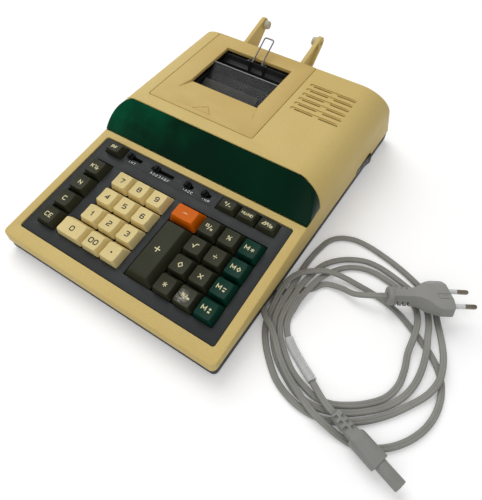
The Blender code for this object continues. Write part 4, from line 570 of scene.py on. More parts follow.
# Legends: strokes in hundredths of a square, closed strokes repeat their first point
GLYPHS = {
    "0": [[(22, 0), (78, 0), (100, 18), (100, 82), (78, 100), (22, 100), (0, 82), (0, 18), (22, 0)]],
    "1": [[(20, 72), (58, 100), (58, 0)]],
    "2": [
        [(0, 85), (20, 100), (80, 100), (100, 85), (100, 62), (80, 50), (20, 42), (0, 30), (0, 0),
         (100, 0)],
    ],
    "3": [
        [(0, 87), (20, 100), (80, 100), (100, 86), (100, 66), (80, 53), (40, 53)],
        [(80, 53), (100, 38), (100, 15), (80, 0), (20, 0), (0, 13)],
    ],
    "4": [[(76, 0), (76, 100), (0, 30), (100, 30)]],
    "5": [[(95, 100), (6, 100), (2, 56), (76, 58), (100, 42), (100, 17), (78, 0), (20, 0), (0, 13)]],
    "6": [
        [(96, 88), (76, 100), (22, 100), (0, 82), (0, 18), (22, 0), (78, 0), (100, 17), (100, 40), (78, 56),
         (0, 56)],
    ],
    "7": [[(0, 100), (100, 100), (42, 0)]],
    "8": [
        [(22, 0), (78, 0), (100, 14), (100, 40), (80, 53), (20, 53), (0, 40), (0, 14), (22, 0)],
        [(20, 53), (3, 66), (3, 87), (22, 100), (78, 100), (97, 87), (97, 66), (80, 53)],
    ],
    "9": [
        [(4, 12), (24, 0), (78, 0), (100, 18), (100, 82), (78, 100), (22, 100), (0, 83), (0, 60), (22, 44),
         (100, 44)],
    ],
    "dot": [[(25, 50), (75, 50)]],
    "+": [[(0, 50), (100, 50)], [(50, 0), (50, 100)]],
    "-": [[(0, 50), (100, 50)]],
    "=": [[(0, 30), (100, 30)], [(0, 72), (100, 72)]],
    "x": [[(0, 0), (100, 100)], [(0, 100), (100, 0)]],
    "/": [[(0, 0), (100, 100)]],
    "divide": [[(0, 50), (100, 50)], [(42, 88), (58, 88)], [(42, 12), (58, 12)]],
    "%": [
        [(5, 0), (95, 100)],
        [(5, 72), (20, 94), (38, 72), (20, 54), (5, 72)],
        [(62, 26), (80, 46), (96, 26), (80, 6), (62, 26)],
    ],
    "root": [[(0, 52), (16, 52), (38, 4), (60, 100), (100, 100)]],
    "diamond": [[(50, 0), (100, 50), (50, 100), (0, 50), (50, 0)]],
    "square": [[(0, 0), (100, 0), (100, 100), (0, 100), (0, 0)]],
    "triangle": [[(0, 0), (100, 0), (72, 100), (0, 0)]],
    "star": [[(50, 0), (50, 100)], [(5, 24), (95, 76)], [(5, 76), (95, 24)]],
    "hash": [[(25, 0), (35, 100)], [(65, 0), (75, 100)], [(0, 32), (100, 32)], [(0, 68), (100, 68)]],
    "A": [[(0, 0), (50, 100), (100, 0)], [(20, 34), (80, 34)]],
    "C": [[(100, 84), (78, 100), (22, 100), (0, 82), (0, 18), (22, 0), (78, 0), (100, 16)]],
    "D": [[(0, 0), (0, 100), (70, 100), (100, 78), (100, 22), (70, 0), (0, 0)]],
    "E": [[(100, 0), (0, 0), (0, 100), (100, 100)], [(0, 52), (85, 52)]],
    "F": [[(0, 0), (0, 100), (100, 100)], [(0, 52), (80, 52)]],
    "I": [[(50, 0), (50, 100)]],
    "K": [[(0, 0), (0, 100)], [(95, 100), (0, 42)], [(30, 60), (100, 0)]],
    "M": [[(0, 0), (0, 100), (50, 35), (100, 100), (100, 0)]],
    "N": [[(0, 0), (0, 100), (100, 0), (100, 100)]],
    "P": [[(0, 0), (0, 100), (78, 100), (100, 86), (100, 60), (78, 46), (0, 46)]],
    "T": [[(0, 100), (100, 100)], [(50, 100), (50, 0)]],
    "U": [[(0, 100), (0, 20), (22, 0), (78, 0), (100, 20), (100, 100)]],
}

# Each key's legend: glyph, middle across, middle up, width and height, in millimetres on the key's top
LEGENDS = {
    "key_feed": [("P", -1.3, 0.0, 1.7, 2.3), ("F", 1.3, 0.0, 1.6, 2.3)],
    "key_constant": [("K", -2.3, 0.0, 2.1, 2.8), ("1", -0.2, 0.8, 0.8, 1.3), ("/", 1.0, 0.0, 1.3, 2.6),
                     ("2", 2.2, -0.8, 1.1, 1.3)],
    "key_count": [("N", 0.0, 0.0, 2.3, 2.9)],
    "key_clear": [("C", 0.0, 0.0, 2.6, 2.9)],
    "key_clear_entry": [("C", -1.6, 0.0, 2.2, 2.9), ("E", 1.6, 0.0, 2.0, 2.9)],
    "key_0": [("0", 0.0, 0.0, 2.7, 3.2)],
    "key_00": [("0", -1.9, 0.0, 2.6, 3.2), ("0", 1.9, 0.0, 2.6, 3.2)],
    "key_point": [("dot", 0.0, 0.0, 2.5, 1.0)],
    "key_minus": [("-", 0.0, 0.0, 2.9, 2.0)],
    "key_plus": [("+", 0.0, 0.0, 4.2, 4.2)],
    "key_subtotal": [("square", -1.9, 0.9, 1.5, 1.5), ("/", 0.0, 0.0, 1.5, 3.6),
                     ("hash", 1.9, -0.9, 1.8, 1.7)],
    "key_percent": [("%", 0.0, 0.0, 2.9, 3.2)],
    "key_memory_total": [("M", -1.9, 0.0, 2.6, 2.7), ("star", 2.0, 0.0, 2.4, 2.5)],
    "key_root": [("root", 0.0, 0.0, 4.2, 3.0)],
    "key_divide": [("divide", 0.0, 0.0, 2.9, 3.2)],
    "key_memory_subtotal": [("M", -1.9, 0.0, 2.6, 2.7), ("diamond", 2.0, 0.0, 2.2, 2.6)],
    "key_diamond": [("diamond", 0.0, 0.0, 3.0, 3.4)],
    "key_multiply": [("x", 0.0, 0.0, 2.7, 2.7)],
    "key_memory_minus": [("M", -1.9, 0.2, 2.6, 2.7), ("-", 1.9, 0.9, 2.1, 1.0), ("=", 1.9, -0.9, 1.6, 1.1)],
    "key_total": [("star", 0.0, 0.0, 2.9, 3.2)],
    "key_percent_equals": [("%", -1.7, 0.5, 2.0, 2.4), ("/", 0.1, 0.0, 1.2, 3.2), ("=", 2.0, -0.4, 2.0, 1.6)],
    "key_memory_plus": [("M", -1.9, 0.2, 2.6, 2.7), ("+", 1.9, 1.0, 1.8, 1.5), ("=", 1.9, -0.9, 1.6, 1.1)],
    "key_sign": [("+", -1.7, 0.7, 1.7, 1.7), ("/", 0.0, 0.0, 1.4, 3.0), ("-", 1.7, -0.8, 1.7, 1.0)],
    "key_markup": [("M", -3.1, 0.0, 1.4, 1.8), ("U", -1.3, 0.0, 1.2, 1.8), ("/", 0.1, 0.0, 0.8, 2.0),
                   ("M", 1.5, 0.0, 1.4, 1.8), ("D", 3.3, 0.0, 1.2, 1.8)],
    "key_change": [("triangle", -2.3, 0.2, 2.3, 2.3), ("square", -0.2, 0.6, 1.0, 1.1),
                   ("/", 1.3, 0.0, 1.3, 2.6), ("square", 2.9, -0.6, 1.2, 1.2)],
}
for digit in "123456789":
    LEGENDS["key_" + digit] = [(digit, 0.0, 0.0, 2.6, 3.2)]

# Marks on the panel beside the slide switches: glyph and its middle, across and along, in millimetres
SWITCH_MARKS = (
    [("I", -63.2, 112.9), ("N", -60.4, 112.9), ("T", -57.4, 112.9)]
    + [(mark, -37.9 + 3.1 * index, 112.6) for index, mark in enumerate("A02346F")]
    + [("dot", -2.4, 112.8), ("A", 0.4, 112.8), ("C", 3.2, 112.8), ("C", 6.0, 112.8)]
    + [("dot", 17.6, 112.9), ("N", 20.4, 112.9), ("P", 23.4, 112.9)]
)

# Print: how far it stands off its surface, its longest straight piece, and finer strokes of close glyphs
PRINT_LIFT = 0.00004
PRINT_PIECE = 0.0012
STROKE_SHARE = {"dot": 1.7, "star": 0.75, "hash": 0.7, "%": 0.8}


def ribbon(bm, points, width, closed):
    """A flat band of one width along a line of points, mitred at its corners."""
    points = [Vector((x, y)) for x, y in points]
    if closed:
        points = points[:-1]
    count = len(points)
    sides = []
    for index in range(count):
        before = points[index - 1] if closed or index else None
        after = points[(index + 1) % count] if closed or index < count - 1 else None
        here = points[index]
        into = (here - before).normalized() if before is not None else (after - here).normalized()
        out = (after - here).normalized() if after is not None else into
        normal = Vector((-into.y - out.y, into.x + out.x))
        normal = normal.normalized() if normal.length > 0.001 else Vector((-into.y, into.x))
        reach = width / 2.0 / max(0.45, normal.dot(Vector((-into.y, into.x))))
        sides.append([bm.verts.new((*(here + normal * way), 0.0)) for way in (-reach, reach)])
    for index in range(count if closed else count - 1):
        (right, left), (next_right, next_left) = sides[index], sides[(index + 1) % count]
        bm.faces.new((right, next_right, next_left, left))


def lettered(name, marks, stroke, surface, finish, place):
    """Flat marks that lie on a surface, a hair above it."""
    bm = bmesh.new()
    for glyph, across, up, width, height in marks:
        for stroke_line in GLYPHS[glyph]:
            line = [(x / 100.0, y / 100.0) for x, y in stroke_line]
            closed = len(line) > 3 and line[0] == line[-1]
            points = []
            for (x0, y0), (x1, y1) in zip(line, line[1:]):
                length = math.hypot((x1 - x0) * width, (y1 - y0) * height)
                pieces = max(1, round(length / PRINT_PIECE))
                for step in range(pieces):
                    share = step / pieces
                    points.append((x0 + (x1 - x0) * share, y0 + (y1 - y0) * share))
            points.append(line[-1])
            points = [(across + (x - 0.5) * width, up + (y - 0.5) * height) for x, y in points]
            ribbon(bm, points, stroke * STROKE_SHARE.get(glyph, 1.0), closed)
    for vert in bm.verts:
        vert.co.z = surface(vert.co.x, vert.co.y) + PRINT_LIFT
    return paint(shape(name, bm, place, outward=False), finish)


# Keys
KEY_PITCH = 0.01905
ROW_PITCH = 0.0194
KEY_SIZE = (0.0182, 0.0186)
KEY_TOP = (0.0134, 0.0137)
WORN_KEY = "key_percent_equals"
KEY_SKIRT = 0.0010
PANEL_SUNK = 0.0010
STEM_FOOT = -0.0103
STEM_HALF = 0.0025
BACK_ROW = 0.09104
TOP_ROW = 0.1168
LEFT_COLUMN = -0.0809
DIGIT_COLUMN = -0.0496
MIDDLE_COLUMN = 0.0186
RIGHT_COLUMN = 0.0420
KEY_CORNER = 0.0014
KEY_EDGE = 0.00035
LEGEND_SCALE = 1.27
DIGIT_STROKE = 0.00092
LEGEND_STROKE = 0.00070
FINE_STROKE = 0.00048


def key_list():
    """Every key, as the packed model places it.

    Each has its name, middle across, run, width, depth, top size, top shift, rise, dish and finish.
    """
    rows = [BACK_ROW - ROW_PITCH * row for row in range(4)]
    keys = []

    def add(name, x, run, finish, size=KEY_SIZE, rise=0.0074, top=KEY_TOP, shift=-0.0015, dish=0.0012):
        keys.append((name, x, run, size[0], size[1], top, shift, rise, dish, finish))

    low = (KEY_SIZE[0], 0.0122)
    low_top = (KEY_TOP[0], 0.0083)
    add("key_feed", LEFT_COLUMN, TOP_ROW, "olive", size=low, top=low_top, dish=0.0008)
    for run, name in zip(rows, ("key_constant", "key_count", "key_clear", "key_clear_entry")):
        add(name, LEFT_COLUMN, run, "olive")
    for row, names in enumerate(("789", "456", "123")):
        for column, digit in enumerate(names):
            add("key_" + digit, DIGIT_COLUMN + column * KEY_PITCH, rows[row], "ivory")
    add("key_0", -0.05405, rows[3], "ivory", size=(0.0271, KEY_SIZE[1]), top=(0.0223, KEY_TOP[1]))
    add("key_00", DIGIT_COLUMN + KEY_PITCH, rows[3], "ivory")
    add("key_point", DIGIT_COLUMN + 2.0 * KEY_PITCH, rows[3], "ivory")
    wide = 0.0260
    add("key_minus", MIDDLE_COLUMN, rows[0], "orange", size=(wide, KEY_SIZE[1]), rise=0.0088,
        top=(0.0198, 0.0123), dish=0.0003)
    deep = KEY_SIZE[1] + 2.0 * ROW_PITCH
    add("key_plus", MIDDLE_COLUMN, rows[2], "olive", size=(wide, deep), top=(0.0172, deep - 0.0069),
        shift=0.0, dish=0.0005)
    block = (
        ("key_subtotal", "key_percent", "key_memory_total"),
        ("key_root", "key_divide", "key_memory_subtotal"),
        ("key_diamond", "key_multiply", "key_memory_minus"),
        ("key_total", "key_percent_equals", "key_memory_plus"),
    )
    for row, names in enumerate(block):
        for column, name in enumerate(names):
            finish = "green" if column == 2 else "olive"
            # The worn key's olive carries a painted shine in its middle.
            if name == WORN_KEY:
                finish = "worn"
            add(name, RIGHT_COLUMN + column * KEY_PITCH, rows[row], finish)
    for column, name in enumerate(("key_sign", "key_markup", "key_change")):
        add(name, 0.0412 + column * KEY_PITCH, TOP_ROW, "olive", size=low, rise=0.0044, top=low_top,
            shift=0.0, dish=0.0006)
    return keys


def key_ring(half_x, half_y, radius, shift):
    """One level of a key's wall, always with the same number of points."""
    blocks = []
    corners = ((half_x, -half_y), (half_x, half_y), (-half_x, half_y), (-half_x, -half_y))
    for index, (x, y) in enumerate(corners):
        centre = (x - math.copysign(radius, x), y - math.copysign(radius, y))
        start = 90 * (index - 1)
        blocks.append(arc(centre, radius, start, start + 90, 4))
    points = []
    for index, corner in enumerate(blocks):
        start, end = corner[-1], blocks[(index + 1) % 4][0]
        points += corner
        for step in range(1, 6):
            points.append([a + (b - a) * step / 6.0 for a, b in zip(start, end)])
    return [Vector((x, y + shift)) for x, y in points]


def key_surface(top, shift, height, dish):
    """Height of a key's hollowed top at a place on it."""
    across, along = top[0] / 2.0, top[1] / 2.0
    if top[1] > 2.0 * top[0]:
        return lambda x, y: height - dish * (1.0 - min(1.0, (x / across) ** 2))
    return lambda x, y: height - dish * (1.0 - (x * x + (y - shift) ** 2) / (across ** 2 + along ** 2))


def key_cap(name, key, surface, place):
    """A moulded cap: sloped walls, a soft rim and a hollowed top."""
    width, depth, top, shift, rise = key[3:8]
    height = KEY_SKIRT + rise
    foot = key_ring(width / 2.0, depth / 2.0, KEY_CORNER, 0.0)
    crown = key_ring(top[0] / 2.0, top[1] / 2.0, KEY_CORNER, shift)
    middle = Vector((0.0, shift))
    scales = (0.86, 0.68, 0.5, 0.32, 0.15)
    walls = [[] for _ in range(5)]
    tops = [[] for _ in scales]
    for low, high in zip(foot, crown):
        share = 1.0
        for _ in range(4):
            there = low.lerp(high, share)
            share = surface(there.x, there.y) / height
        rim = low.lerp(high, share)
        below = share - KEY_EDGE / height
        walls[0].append((*low, 0.0))
        walls[1].append((*low.lerp(high, share * 0.5), height * share * 0.5))
        walls[2].append((*low.lerp(high, below), height * below))
        inward = (middle - rim).normalized()
        soft = rim + inward * KEY_EDGE * 0.28
        walls[3].append((*soft, surface(rim.x, rim.y) - KEY_EDGE * 0.26))
        near = rim + inward * KEY_EDGE * 1.1
        walls[4].append((*near, surface(near.x, near.y) - 0.00002))
        for level, scale in zip(tops, scales):
            spot = middle + (rim - middle) * scale
            level.append((*spot, surface(spot.x, spot.y)))
    bm = bmesh.new()
    rings = [[bm.verts.new(corner) for corner in level] for level in walls + tops]
    for near, far in zip(rings, rings[1:]):
        for index in range(len(near)):
            after = (index + 1) % len(near)
            bm.faces.new((near[index], near[after], far[after], far[index]))
    bm.faces.new(rings[-1])
    bm.faces.new(list(reversed(rings[0])))
    return shape(name, bm, place)


def make_key(key, finishes, legends):
    """One key: a moulded cap with a hollowed top, its printed legend and its stems."""
    name, x, run, _, depth, top, shift, rise, dish, finish = key
    surface = key_surface(top, shift, KEY_SKIRT + rise, dish)
    place = KEYBOARD @ Matrix.Translation((x, run, -PANEL_SUNK - KEY_SKIRT))
    cap = paint(key_cap(name + "_cap", key, surface, place), finishes[finish])
    smoothed(cap, 50)
    scale = LEGEND_SCALE / 1000.0
    marks = [
        (glyph, a * scale, b * scale + shift, w * scale, h * scale) for glyph, a, b, w, h in LEGENDS[name]
    ]
    tone = legends["dark"] if finish == "ivory" else legends["pale"]
    stroke = DIGIT_STROKE if finish == "ivory" or name == "key_plus" else LEGEND_STROKE
    if name == "key_markup":
        stroke = FINE_STROKE
    parts = [cap, lettered(name + "_legend", marks, stroke, surface, tone, place)]
    reaches = (-ROW_PITCH, ROW_PITCH) if depth > 2.0 * KEY_SIZE[1] else (0.0,)
    for reach in reaches:
        low = (x - STEM_HALF, run + reach - STEM_HALF, STEM_FOOT)
        high = (x + STEM_HALF, run + reach + STEM_HALF, -PANEL_SUNK - KEY_SKIRT / 2.0)
        parts.append(paint(block(name + "_stem", low, high, KEYBOARD), finishes[finish]))
    return join(name + "_moulded", *parts)


def key_plastic(name, colour, roughness):
    """Two-shot key plastic, a little paler where fingers have polished the grain."""
    return moulded(name, colour, shade(colour, 0.9), roughness, 2400.0, 0.00003, 22.0, 0.18, 0.11)


KEY_FINISH_SLOTS = {"ivory": "ivory_key", "olive": "olive_key", "orange": "orange_key", "green": "green_key",
                    "worn": "olive_key"}


def olive_worn_and_painted_shine(colour, bright):
    """The olive of the most used key: worn, its print film lifted, with a painted reflection, a pale grey
    shine, mixed into its colour in the middle.
    """
    made = moulded("worn_olive_plastic", colour, shade(colour, 0.8), 0.42, 2200.0, 0.00004, 12.0)
    tree = made.node_tree
    if "shine" in tree.nodes:
        return made
    shader = tree.nodes["Principled BSDF"]
    base = shader.inputs["Base Color"].links[0].from_socket
    where = node(tree, "ShaderNodeTexCoord").outputs["Object"]
    x, run = RIGHT_COLUMN + KEY_PITCH, BACK_ROW - 3.0 * ROW_PITCH
    spot = KEYBOARD @ Vector((x - 0.0022, run - 0.0022, 0.0060))
    away = node(tree, "ShaderNodeVectorMath", {0: where, 1: spot}, operation="DISTANCE").outputs["Value"]
    streaks = node(tree, "ShaderNodeMapping", {"Vector": where, "Scale": (260.0, 1100.0, 300.0)})
    streaks.inputs["Rotation"].default_value = (0.0, 0.0, math.radians(38.0))
    lines = clouds(tree, streaks.outputs["Vector"], 1.0, 4.0, 0.65)
    # Painted reflection: pale grey mixed into the colour round one spot, in streaks, stands in for the worn
    # top's shine.
    near = spread(tree, away, 0.0062, 0.0022)
    amount = node(tree, "ShaderNodeMath", {0: near, 1: spread(tree, lines, 0.40, 0.62)}, operation="MULTIPLY")
    amount.name = "shine"
    feed(tree, shader, {"Base Color": mixed(tree, amount.outputs["Value"], base, rgba(bright))})
    return made


# Cord, plug and connector; the cord's route is in tenths of a millimetre, as in the packed model
CORD_ROUTE = (
    (1790, -1345, 80), (1680, -1265, 50), (1545, -1180, 24), (1420, -1100, 24), (1330, -1015, 24),
    (1280, -920, 28), (1275, -825, 48), (1275, -720, 70), (1290, -600, 75), (1320, -445, 60),
    (1375, -310, 32), (1450, -210, 24), (1545, -150, 24), (1645, -125, 24), (1765, -130, 24),
    (1880, -155, 24), (1995, -190, 24), (2090, -270, 36), (2140, -395, 70), (2160, -535, 74),
    (2170, -660, 46), (2200, -800, 24), (2205, -940, 24), (2165, -1065, 24), (2080, -1170, 24),
    (1970, -1260, 24), (1850, -1325, 24), (1735, -1340, 24), (1620, -1310, 24), (1510, -1260, 24),
    (1390, -1165, 24), (1290, -1060, 24), (1230, -930, 28), (1220, -825, 48), (1220, -730, 75),
    (1225, -595, 73), (1240, -450, 46), (1280, -295, 32), (1360, -180, 24), (1455, -105, 24),
    (1565, -55, 24), (1680, -45, 24), (1810, -65, 24), (1925, -95, 24), (2045, -135, 24), (2155, -215, 36),
    (2215, -340, 60), (2250, -475, 72), (2280, -585, 72), (2305, -735, 38), (2300, -875, 24),
    (2260, -1010, 24), (2190, -1125, 24), (2090, -1230, 24), (1972, -1324, 24), (1856, -1380, 24),
    (1730, -1405, 24), (1610, -1385, 24), (1485, -1320, 24), (1365, -1235, 24), (1265, -1115, 24),
    (1187, -962, 25), (1165, -835, 48), (1170, -740, 80), (1165, -625, 64), (1155, -510, 44),
    (1150, -385, 34), (1155, -265, 24), (1170, -155, 24), (1200, -35, 24), (1265, 50, 24), (1380, 105, 24),
    (1510, 110, 24), (1665, 85, 24), (1820, 45, 24), (1960, -5, 24), (2100, -75, 24), (2210, -175, 30),
    (2285, -315, 46), (2350, -445, 66), (2400, -560, 72), (2425, -655, 74), (2435, -755, 75),
    (2410, -875, 38), (2330, -1020, 24), (2230, -1165, 24), (2123, -1282, 24), (2002, -1376, 24),
    (1860, -1448, 24), (1715, -1465, 24), (1590, -1445, 24), (1450, -1385, 24), (1330, -1285, 24),
    (1225, -1165, 24), (1150, -1030, 24), (1124, -905, 27), (1115, -825, 58), (1110, -745, 78),
    (1117, -635, 99), (1160, -530, 108), (1240, -445, 104), (1345, -375, 101), (1465, -335, 66),
    (1600, -320, 36), (1735, -320, 24), (1865, -340, 24), (1995, -380, 24), (2120, -445, 24),
    (2225, -510, 24), (2315, -570, 24), (2395, -645, 24), (2450, -725, 24), (2490, -840, 24),
    (2500, -975, 24), (2475, -1110, 24), (2415, -1240, 24), (2330, -1350, 24), (2230, -1430, 24),
    (2130, -1480, 24), (2015, -1490, 30), (1905, -1483, 62), (1800, -1465, 76), (1695, -1425, 74),
    (1595, -1375, 74), (1490, -1315, 74), (1380, -1230, 74), (1285, -1130, 74), (1200, -1055, 74),
    (1120, -1005, 75), (1077, -942, 64), (1065, -860, 32), (1070, -790, 24), (1105, -735, 24),
    (1160, -685, 24), (1230, -630, 24), (1305, -560, 24), (1375, -460, 24), (1500, -430, 46),
    (1620, -445, 88), (1715, -422, 122),
)
PLUG_PLACE = (0.1849, -0.0362, 0.0145)
PLUG_HEADING = math.radians(30.4)
PLUG_PITCH = math.radians(0.7)
PLUG_ROLL = math.radians(-20.0)
CONNECTOR_PLACE = (0.1906, -0.1397, 0.0097)
CONNECTOR_HEADING = math.radians(-18.1)
JOINT_GAP = 0.0003
STRAIGHT = 0.0050
MODEL_CENTRE_LOW = 0.0024
CORD_STEP = 0.0025
CORD_LIFT = 0.0005
END_REACH = 0.030
STACK_SHARE = 0.84
TAG_FROM = 0.0265
TAG_TO = 0.0680


def lead_axes(place, heading, pitch=0.0, roll=0.0):
    """Axes with X along a plug or connector, away from its cord."""
    turn = Matrix.Rotation(heading, 4, "Z") @ Matrix.Rotation(-pitch, 4, "Y") @ Matrix.Rotation(roll, 4, "X")
    return Matrix.Translation(place) @ turn


PLUG_AXES = lead_axes(PLUG_PLACE, PLUG_HEADING, PLUG_PITCH, PLUG_ROLL)
CONNECTOR_AXES = lead_axes(CONNECTOR_PLACE, CONNECTOR_HEADING)


def smooth_line(points, step):
    """Points a step apart on a smooth curve through given points."""
    points = [Vector(point) for point in points]
    points = [2.0 * points[0] - points[1]] + points + [2.0 * points[-1] - points[-2]]
    line = []
    for a, b, c, d in zip(points, points[1:], points[2:], points[3:]):
        knots = [0.0]
        for start, end in ((a, b), (b, c), (c, d)):
            knots.append(knots[-1] + math.sqrt((end - start).length))
        count = max(3, round((c - b).length / (step / 4.0)))
        for index in range(count):
            t = knots[1] + (knots[2] - knots[1]) * index / count
            ab = a.lerp(b, (t - knots[0]) / (knots[1] - knots[0]))
            bc = b.lerp(c, (t - knots[1]) / (knots[2] - knots[1]))
            cd = c.lerp(d, (t - knots[2]) / (knots[3] - knots[2]))
            abc = ab.lerp(bc, (t - knots[0]) / (knots[2] - knots[0]))
            bcd = bc.lerp(cd, (t - knots[1]) / (knots[3] - knots[1]))
            line.append(abc.lerp(bcd, (t - knots[1]) / (knots[2] - knots[1])))
    line.append(points[-2])
    lengths = [0.0]
    for start, end in zip(line, line[1:]):
        lengths.append(lengths[-1] + (end - start).length)
    count = round(lengths[-1] / step)
    spaced = []
    index = 0
    for number in range(count + 1):
        wanted = lengths[-1] * number / count
        while index < len(line) - 2 and lengths[index + 1] < wanted:
            index += 1
        share = (wanted - lengths[index]) / (lengths[index + 1] - lengths[index])
        spaced.append(line[index].lerp(line[index + 1], share))
    return spaced


def direction(line, index):
    """A line's direction at one of its points."""
    return (line[min(index + 1, len(line) - 1)] - line[max(index - 1, 0)]).normalized()


def cord_line(thickness):
    """The flat cord's middle line: the model's route, let down to the thinner cord's own height."""
    ends = []
    for axes in (CONNECTOR_AXES, PLUG_AXES):
        near = axes @ Vector((-JOINT_GAP, 0.0, 0.0))
        far = axes @ Vector((-JOINT_GAP - STRAIGHT, 0.0, 0.0))
        ends.append((near, far))
    route = [Vector([value / 10000.0 for value in point]) for point in CORD_ROUTE]
    line = smooth_line([*ends[0], *route, *reversed(ends[1])], CORD_STEP)
    low = thickness / 2.0 + CORD_LIFT
    lowered = []
    total = len(line) - 1
    for index, point in enumerate(line):
        share = min(1.0, min(index, total - index) * CORD_STEP / END_REACH)
        share = share * share * (3.0 - 2.0 * share)
        down = low + (point.z - MODEL_CENTRE_LOW) * STACK_SHARE
        lowered.append(Vector((point.x, point.y, max(low, point.z + (down - point.z) * share))))
    for _ in range(4):
        heights = [p.z for p in lowered]
        for index in range(2, total - 1):
            lowered[index].z = (heights[index - 1] + 2.0 * heights[index] + heights[index + 1]) / 4.0
    return lowered


def sweep(name, line, section, side, wave=0.0):
    """A section carried along a line, with UV running along it and round it."""
    bm = bmesh.new()
    layer = bm.loops.layers.uv.new("UVMap")
    rings = []
    travelled = [0.0]
    for start, end in zip(line, line[1:]):
        travelled.append(travelled[-1] + (end - start).length)
    for index, point in enumerate(line):
        along = direction(line, index)
        across = side(along)
        up = across.cross(along).normalized()
        if wave:
            roll = wave * noise.noise(Vector((travelled[index] * 14.0, 3.7, 0.0)))
            turn = Matrix.Rotation(roll, 3, along)
            across, up = turn @ across, turn @ up
        rings.append([bm.verts.new(point + across * a + up * b) for a, b in section])
    count = len(section)
    for index, (near, far) in enumerate(zip(rings, rings[1:])):
        for corner in range(count):
            after = (corner + 1) % count
            face = bm.faces.new((near[corner], near[after], far[after], far[corner]))
            places = ((index, corner), (index, corner + 1), (index + 1, corner + 1), (index + 1, corner))
            for loop, (ring, turn) in zip(face.loops, places):
                loop[layer].uv = (travelled[ring], turn / count)
    bm.faces.new(rings[0])
    bm.faces.new(rings[-1])
    return smoothed(shape(name, bm), 55)


def flat_side(along):
    """Sideways direction of a thing that lies flat."""
    return Vector((along.y, -along.x, 0.0)).normalized()


def two_core_section(width, thickness):
    """The flat cord's section: two round cores with a groove between them."""
    radius = thickness / 2.0
    reach = width / 2.0 - radius
    points = arc((reach, 0.0), radius, -72, 72, 6)
    points += [(reach * 0.34, radius * 0.93), (0.0, radius * 0.80), (-reach * 0.34, radius * 0.93)]
    points += arc((-reach, 0.0), radius, 108, 252, 6)
    points += [(-reach * 0.34, -radius * 0.93), (0.0, -radius * 0.80), (reach * 0.34, -radius * 0.93)]
    return points


def sheathed(name, colour):
    """Flexible sheath: slightly darker in patches, with a soft even gloss and faint rubbed marks."""
    return moulded(name, colour, shade(colour, 0.82), 0.42, 1500.0, 0.00002, 26.0, 0.18)


def make_power_cord(settings):
    """The loose flat cord between the connector and the plug."""
    line = cord_line(settings.thickness)
    section = two_core_section(settings.width, settings.thickness)
    cord = sweep("mains_cord", line, section, flat_side, math.radians(22.0))
    paint(cord, sheathed("cord_sheath", settings.colour))
    length = sum((end - start).length for start, end in zip(line, line[1:]))
    exit_point = CONNECTOR_AXES @ Vector((-JOINT_GAP, 0.0, 0.0))
    place_piece(cord, "machine", ["power_cord"], "cord_grey")
    return cord, line, length, tuple(exit_point)


def make_cord_tag(line, settings):
    """The clear sleeve round the cord near the connector, left bare."""
    part = line[round(TAG_FROM / CORD_STEP):round(TAG_TO / CORD_STEP)]
    half, thick = settings.width / 2.0 + 0.0011, settings.thickness / 2.0 + 0.0007
    section = rounded((-half, -thick), (half, thick), thick * 0.96, 4)
    wall = 0.00035
    inner = rounded((-half + wall, -thick + wall), (half - wall, thick - wall), thick * 0.8, 4)
    bm = bmesh.new()
    rings = []
    for index, point in enumerate(part):
        along = direction(part, index)
        across = flat_side(along)
        up = across.cross(along).normalized()
        lift = point + Vector((0.0, 0.0, 0.0008))
        rings.append([[bm.verts.new(lift + across * a + up * b) for a, b in one] for one in (section, inner)])
    count = len(section)
    for near, far in zip(rings, rings[1:]):
        for layer in range(2):
            for corner in range(count):
                after = (corner + 1) % count
                quad = (near[layer][corner], near[layer][after], far[layer][after], far[layer][corner])
                bm.faces.new(quad)
    for ring in (rings[0], rings[-1]):
        for corner in range(count):
            after = (corner + 1) % count
            bm.faces.new((ring[0][corner], ring[0][after], ring[1][after], ring[1][corner]))
    tag = smoothed(shape("cord_tag", bm), 50)
    paint(tag, clear_sheet("clear_sleeve", (0.80, 0.81, 0.80), 0.18, 0.60, 0.25))
    return place_piece(tag, "machine", [], "clear_plastic")


def mirrored(points):
    """A closed outline from the points of its upper half, first to last along X."""
    return [(x, -y) for x, y in points] + [(x, y) for x, y in reversed(points)]


def swell(start, end, steps, low, high):
    """Points of a smooth S-shaped widening."""
    points = []
    for step in range(steps + 1):
        share = step / steps
        rise = share * share * (3.0 - 2.0 * share)
        points.append((start + (end - start) * share, low + (high - low) * rise))
    return points


def plug_pins():
    """The plug's two pins, each half sleeved, that lean a little towards each other."""
    pale = moulded("pin_sleeve_plastic", (0.70, 0.71, 0.71), (0.62, 0.63, 0.63), 0.4, 2400.0, 0.00002)
    brass = metal("plated_brass", (0.27, 0.23, 0.18), 0.38)
    thin, full = 0.00188, 0.00196
    pins = []
    for way in (-1.0, 1.0):
        root = Vector((0.0465, way * 0.0093, 0.0))
        along = Vector((0.0665, way * 0.0088, 0.0)) - root
        reach = along.length
        sleeve = [(0.0, 0.00200), (reach * 0.52, full), (reach * 0.53, thin), (reach * 0.53, 0.0)]
        tip = [(reach * 0.50, thin), (reach - 0.0022, full), (reach - 0.0010, 0.0018)]
        tip += [(reach - 0.0003, 0.0012), (reach, 0.0)]
        for name, profile, finish in (("pin_sleeve", sleeve, pale), ("pin_tip", tip, brass)):
            pins.append(smoothed(paint(turned(name, profile, root, along, LEVEL, 28), finish), 40))
    return pins


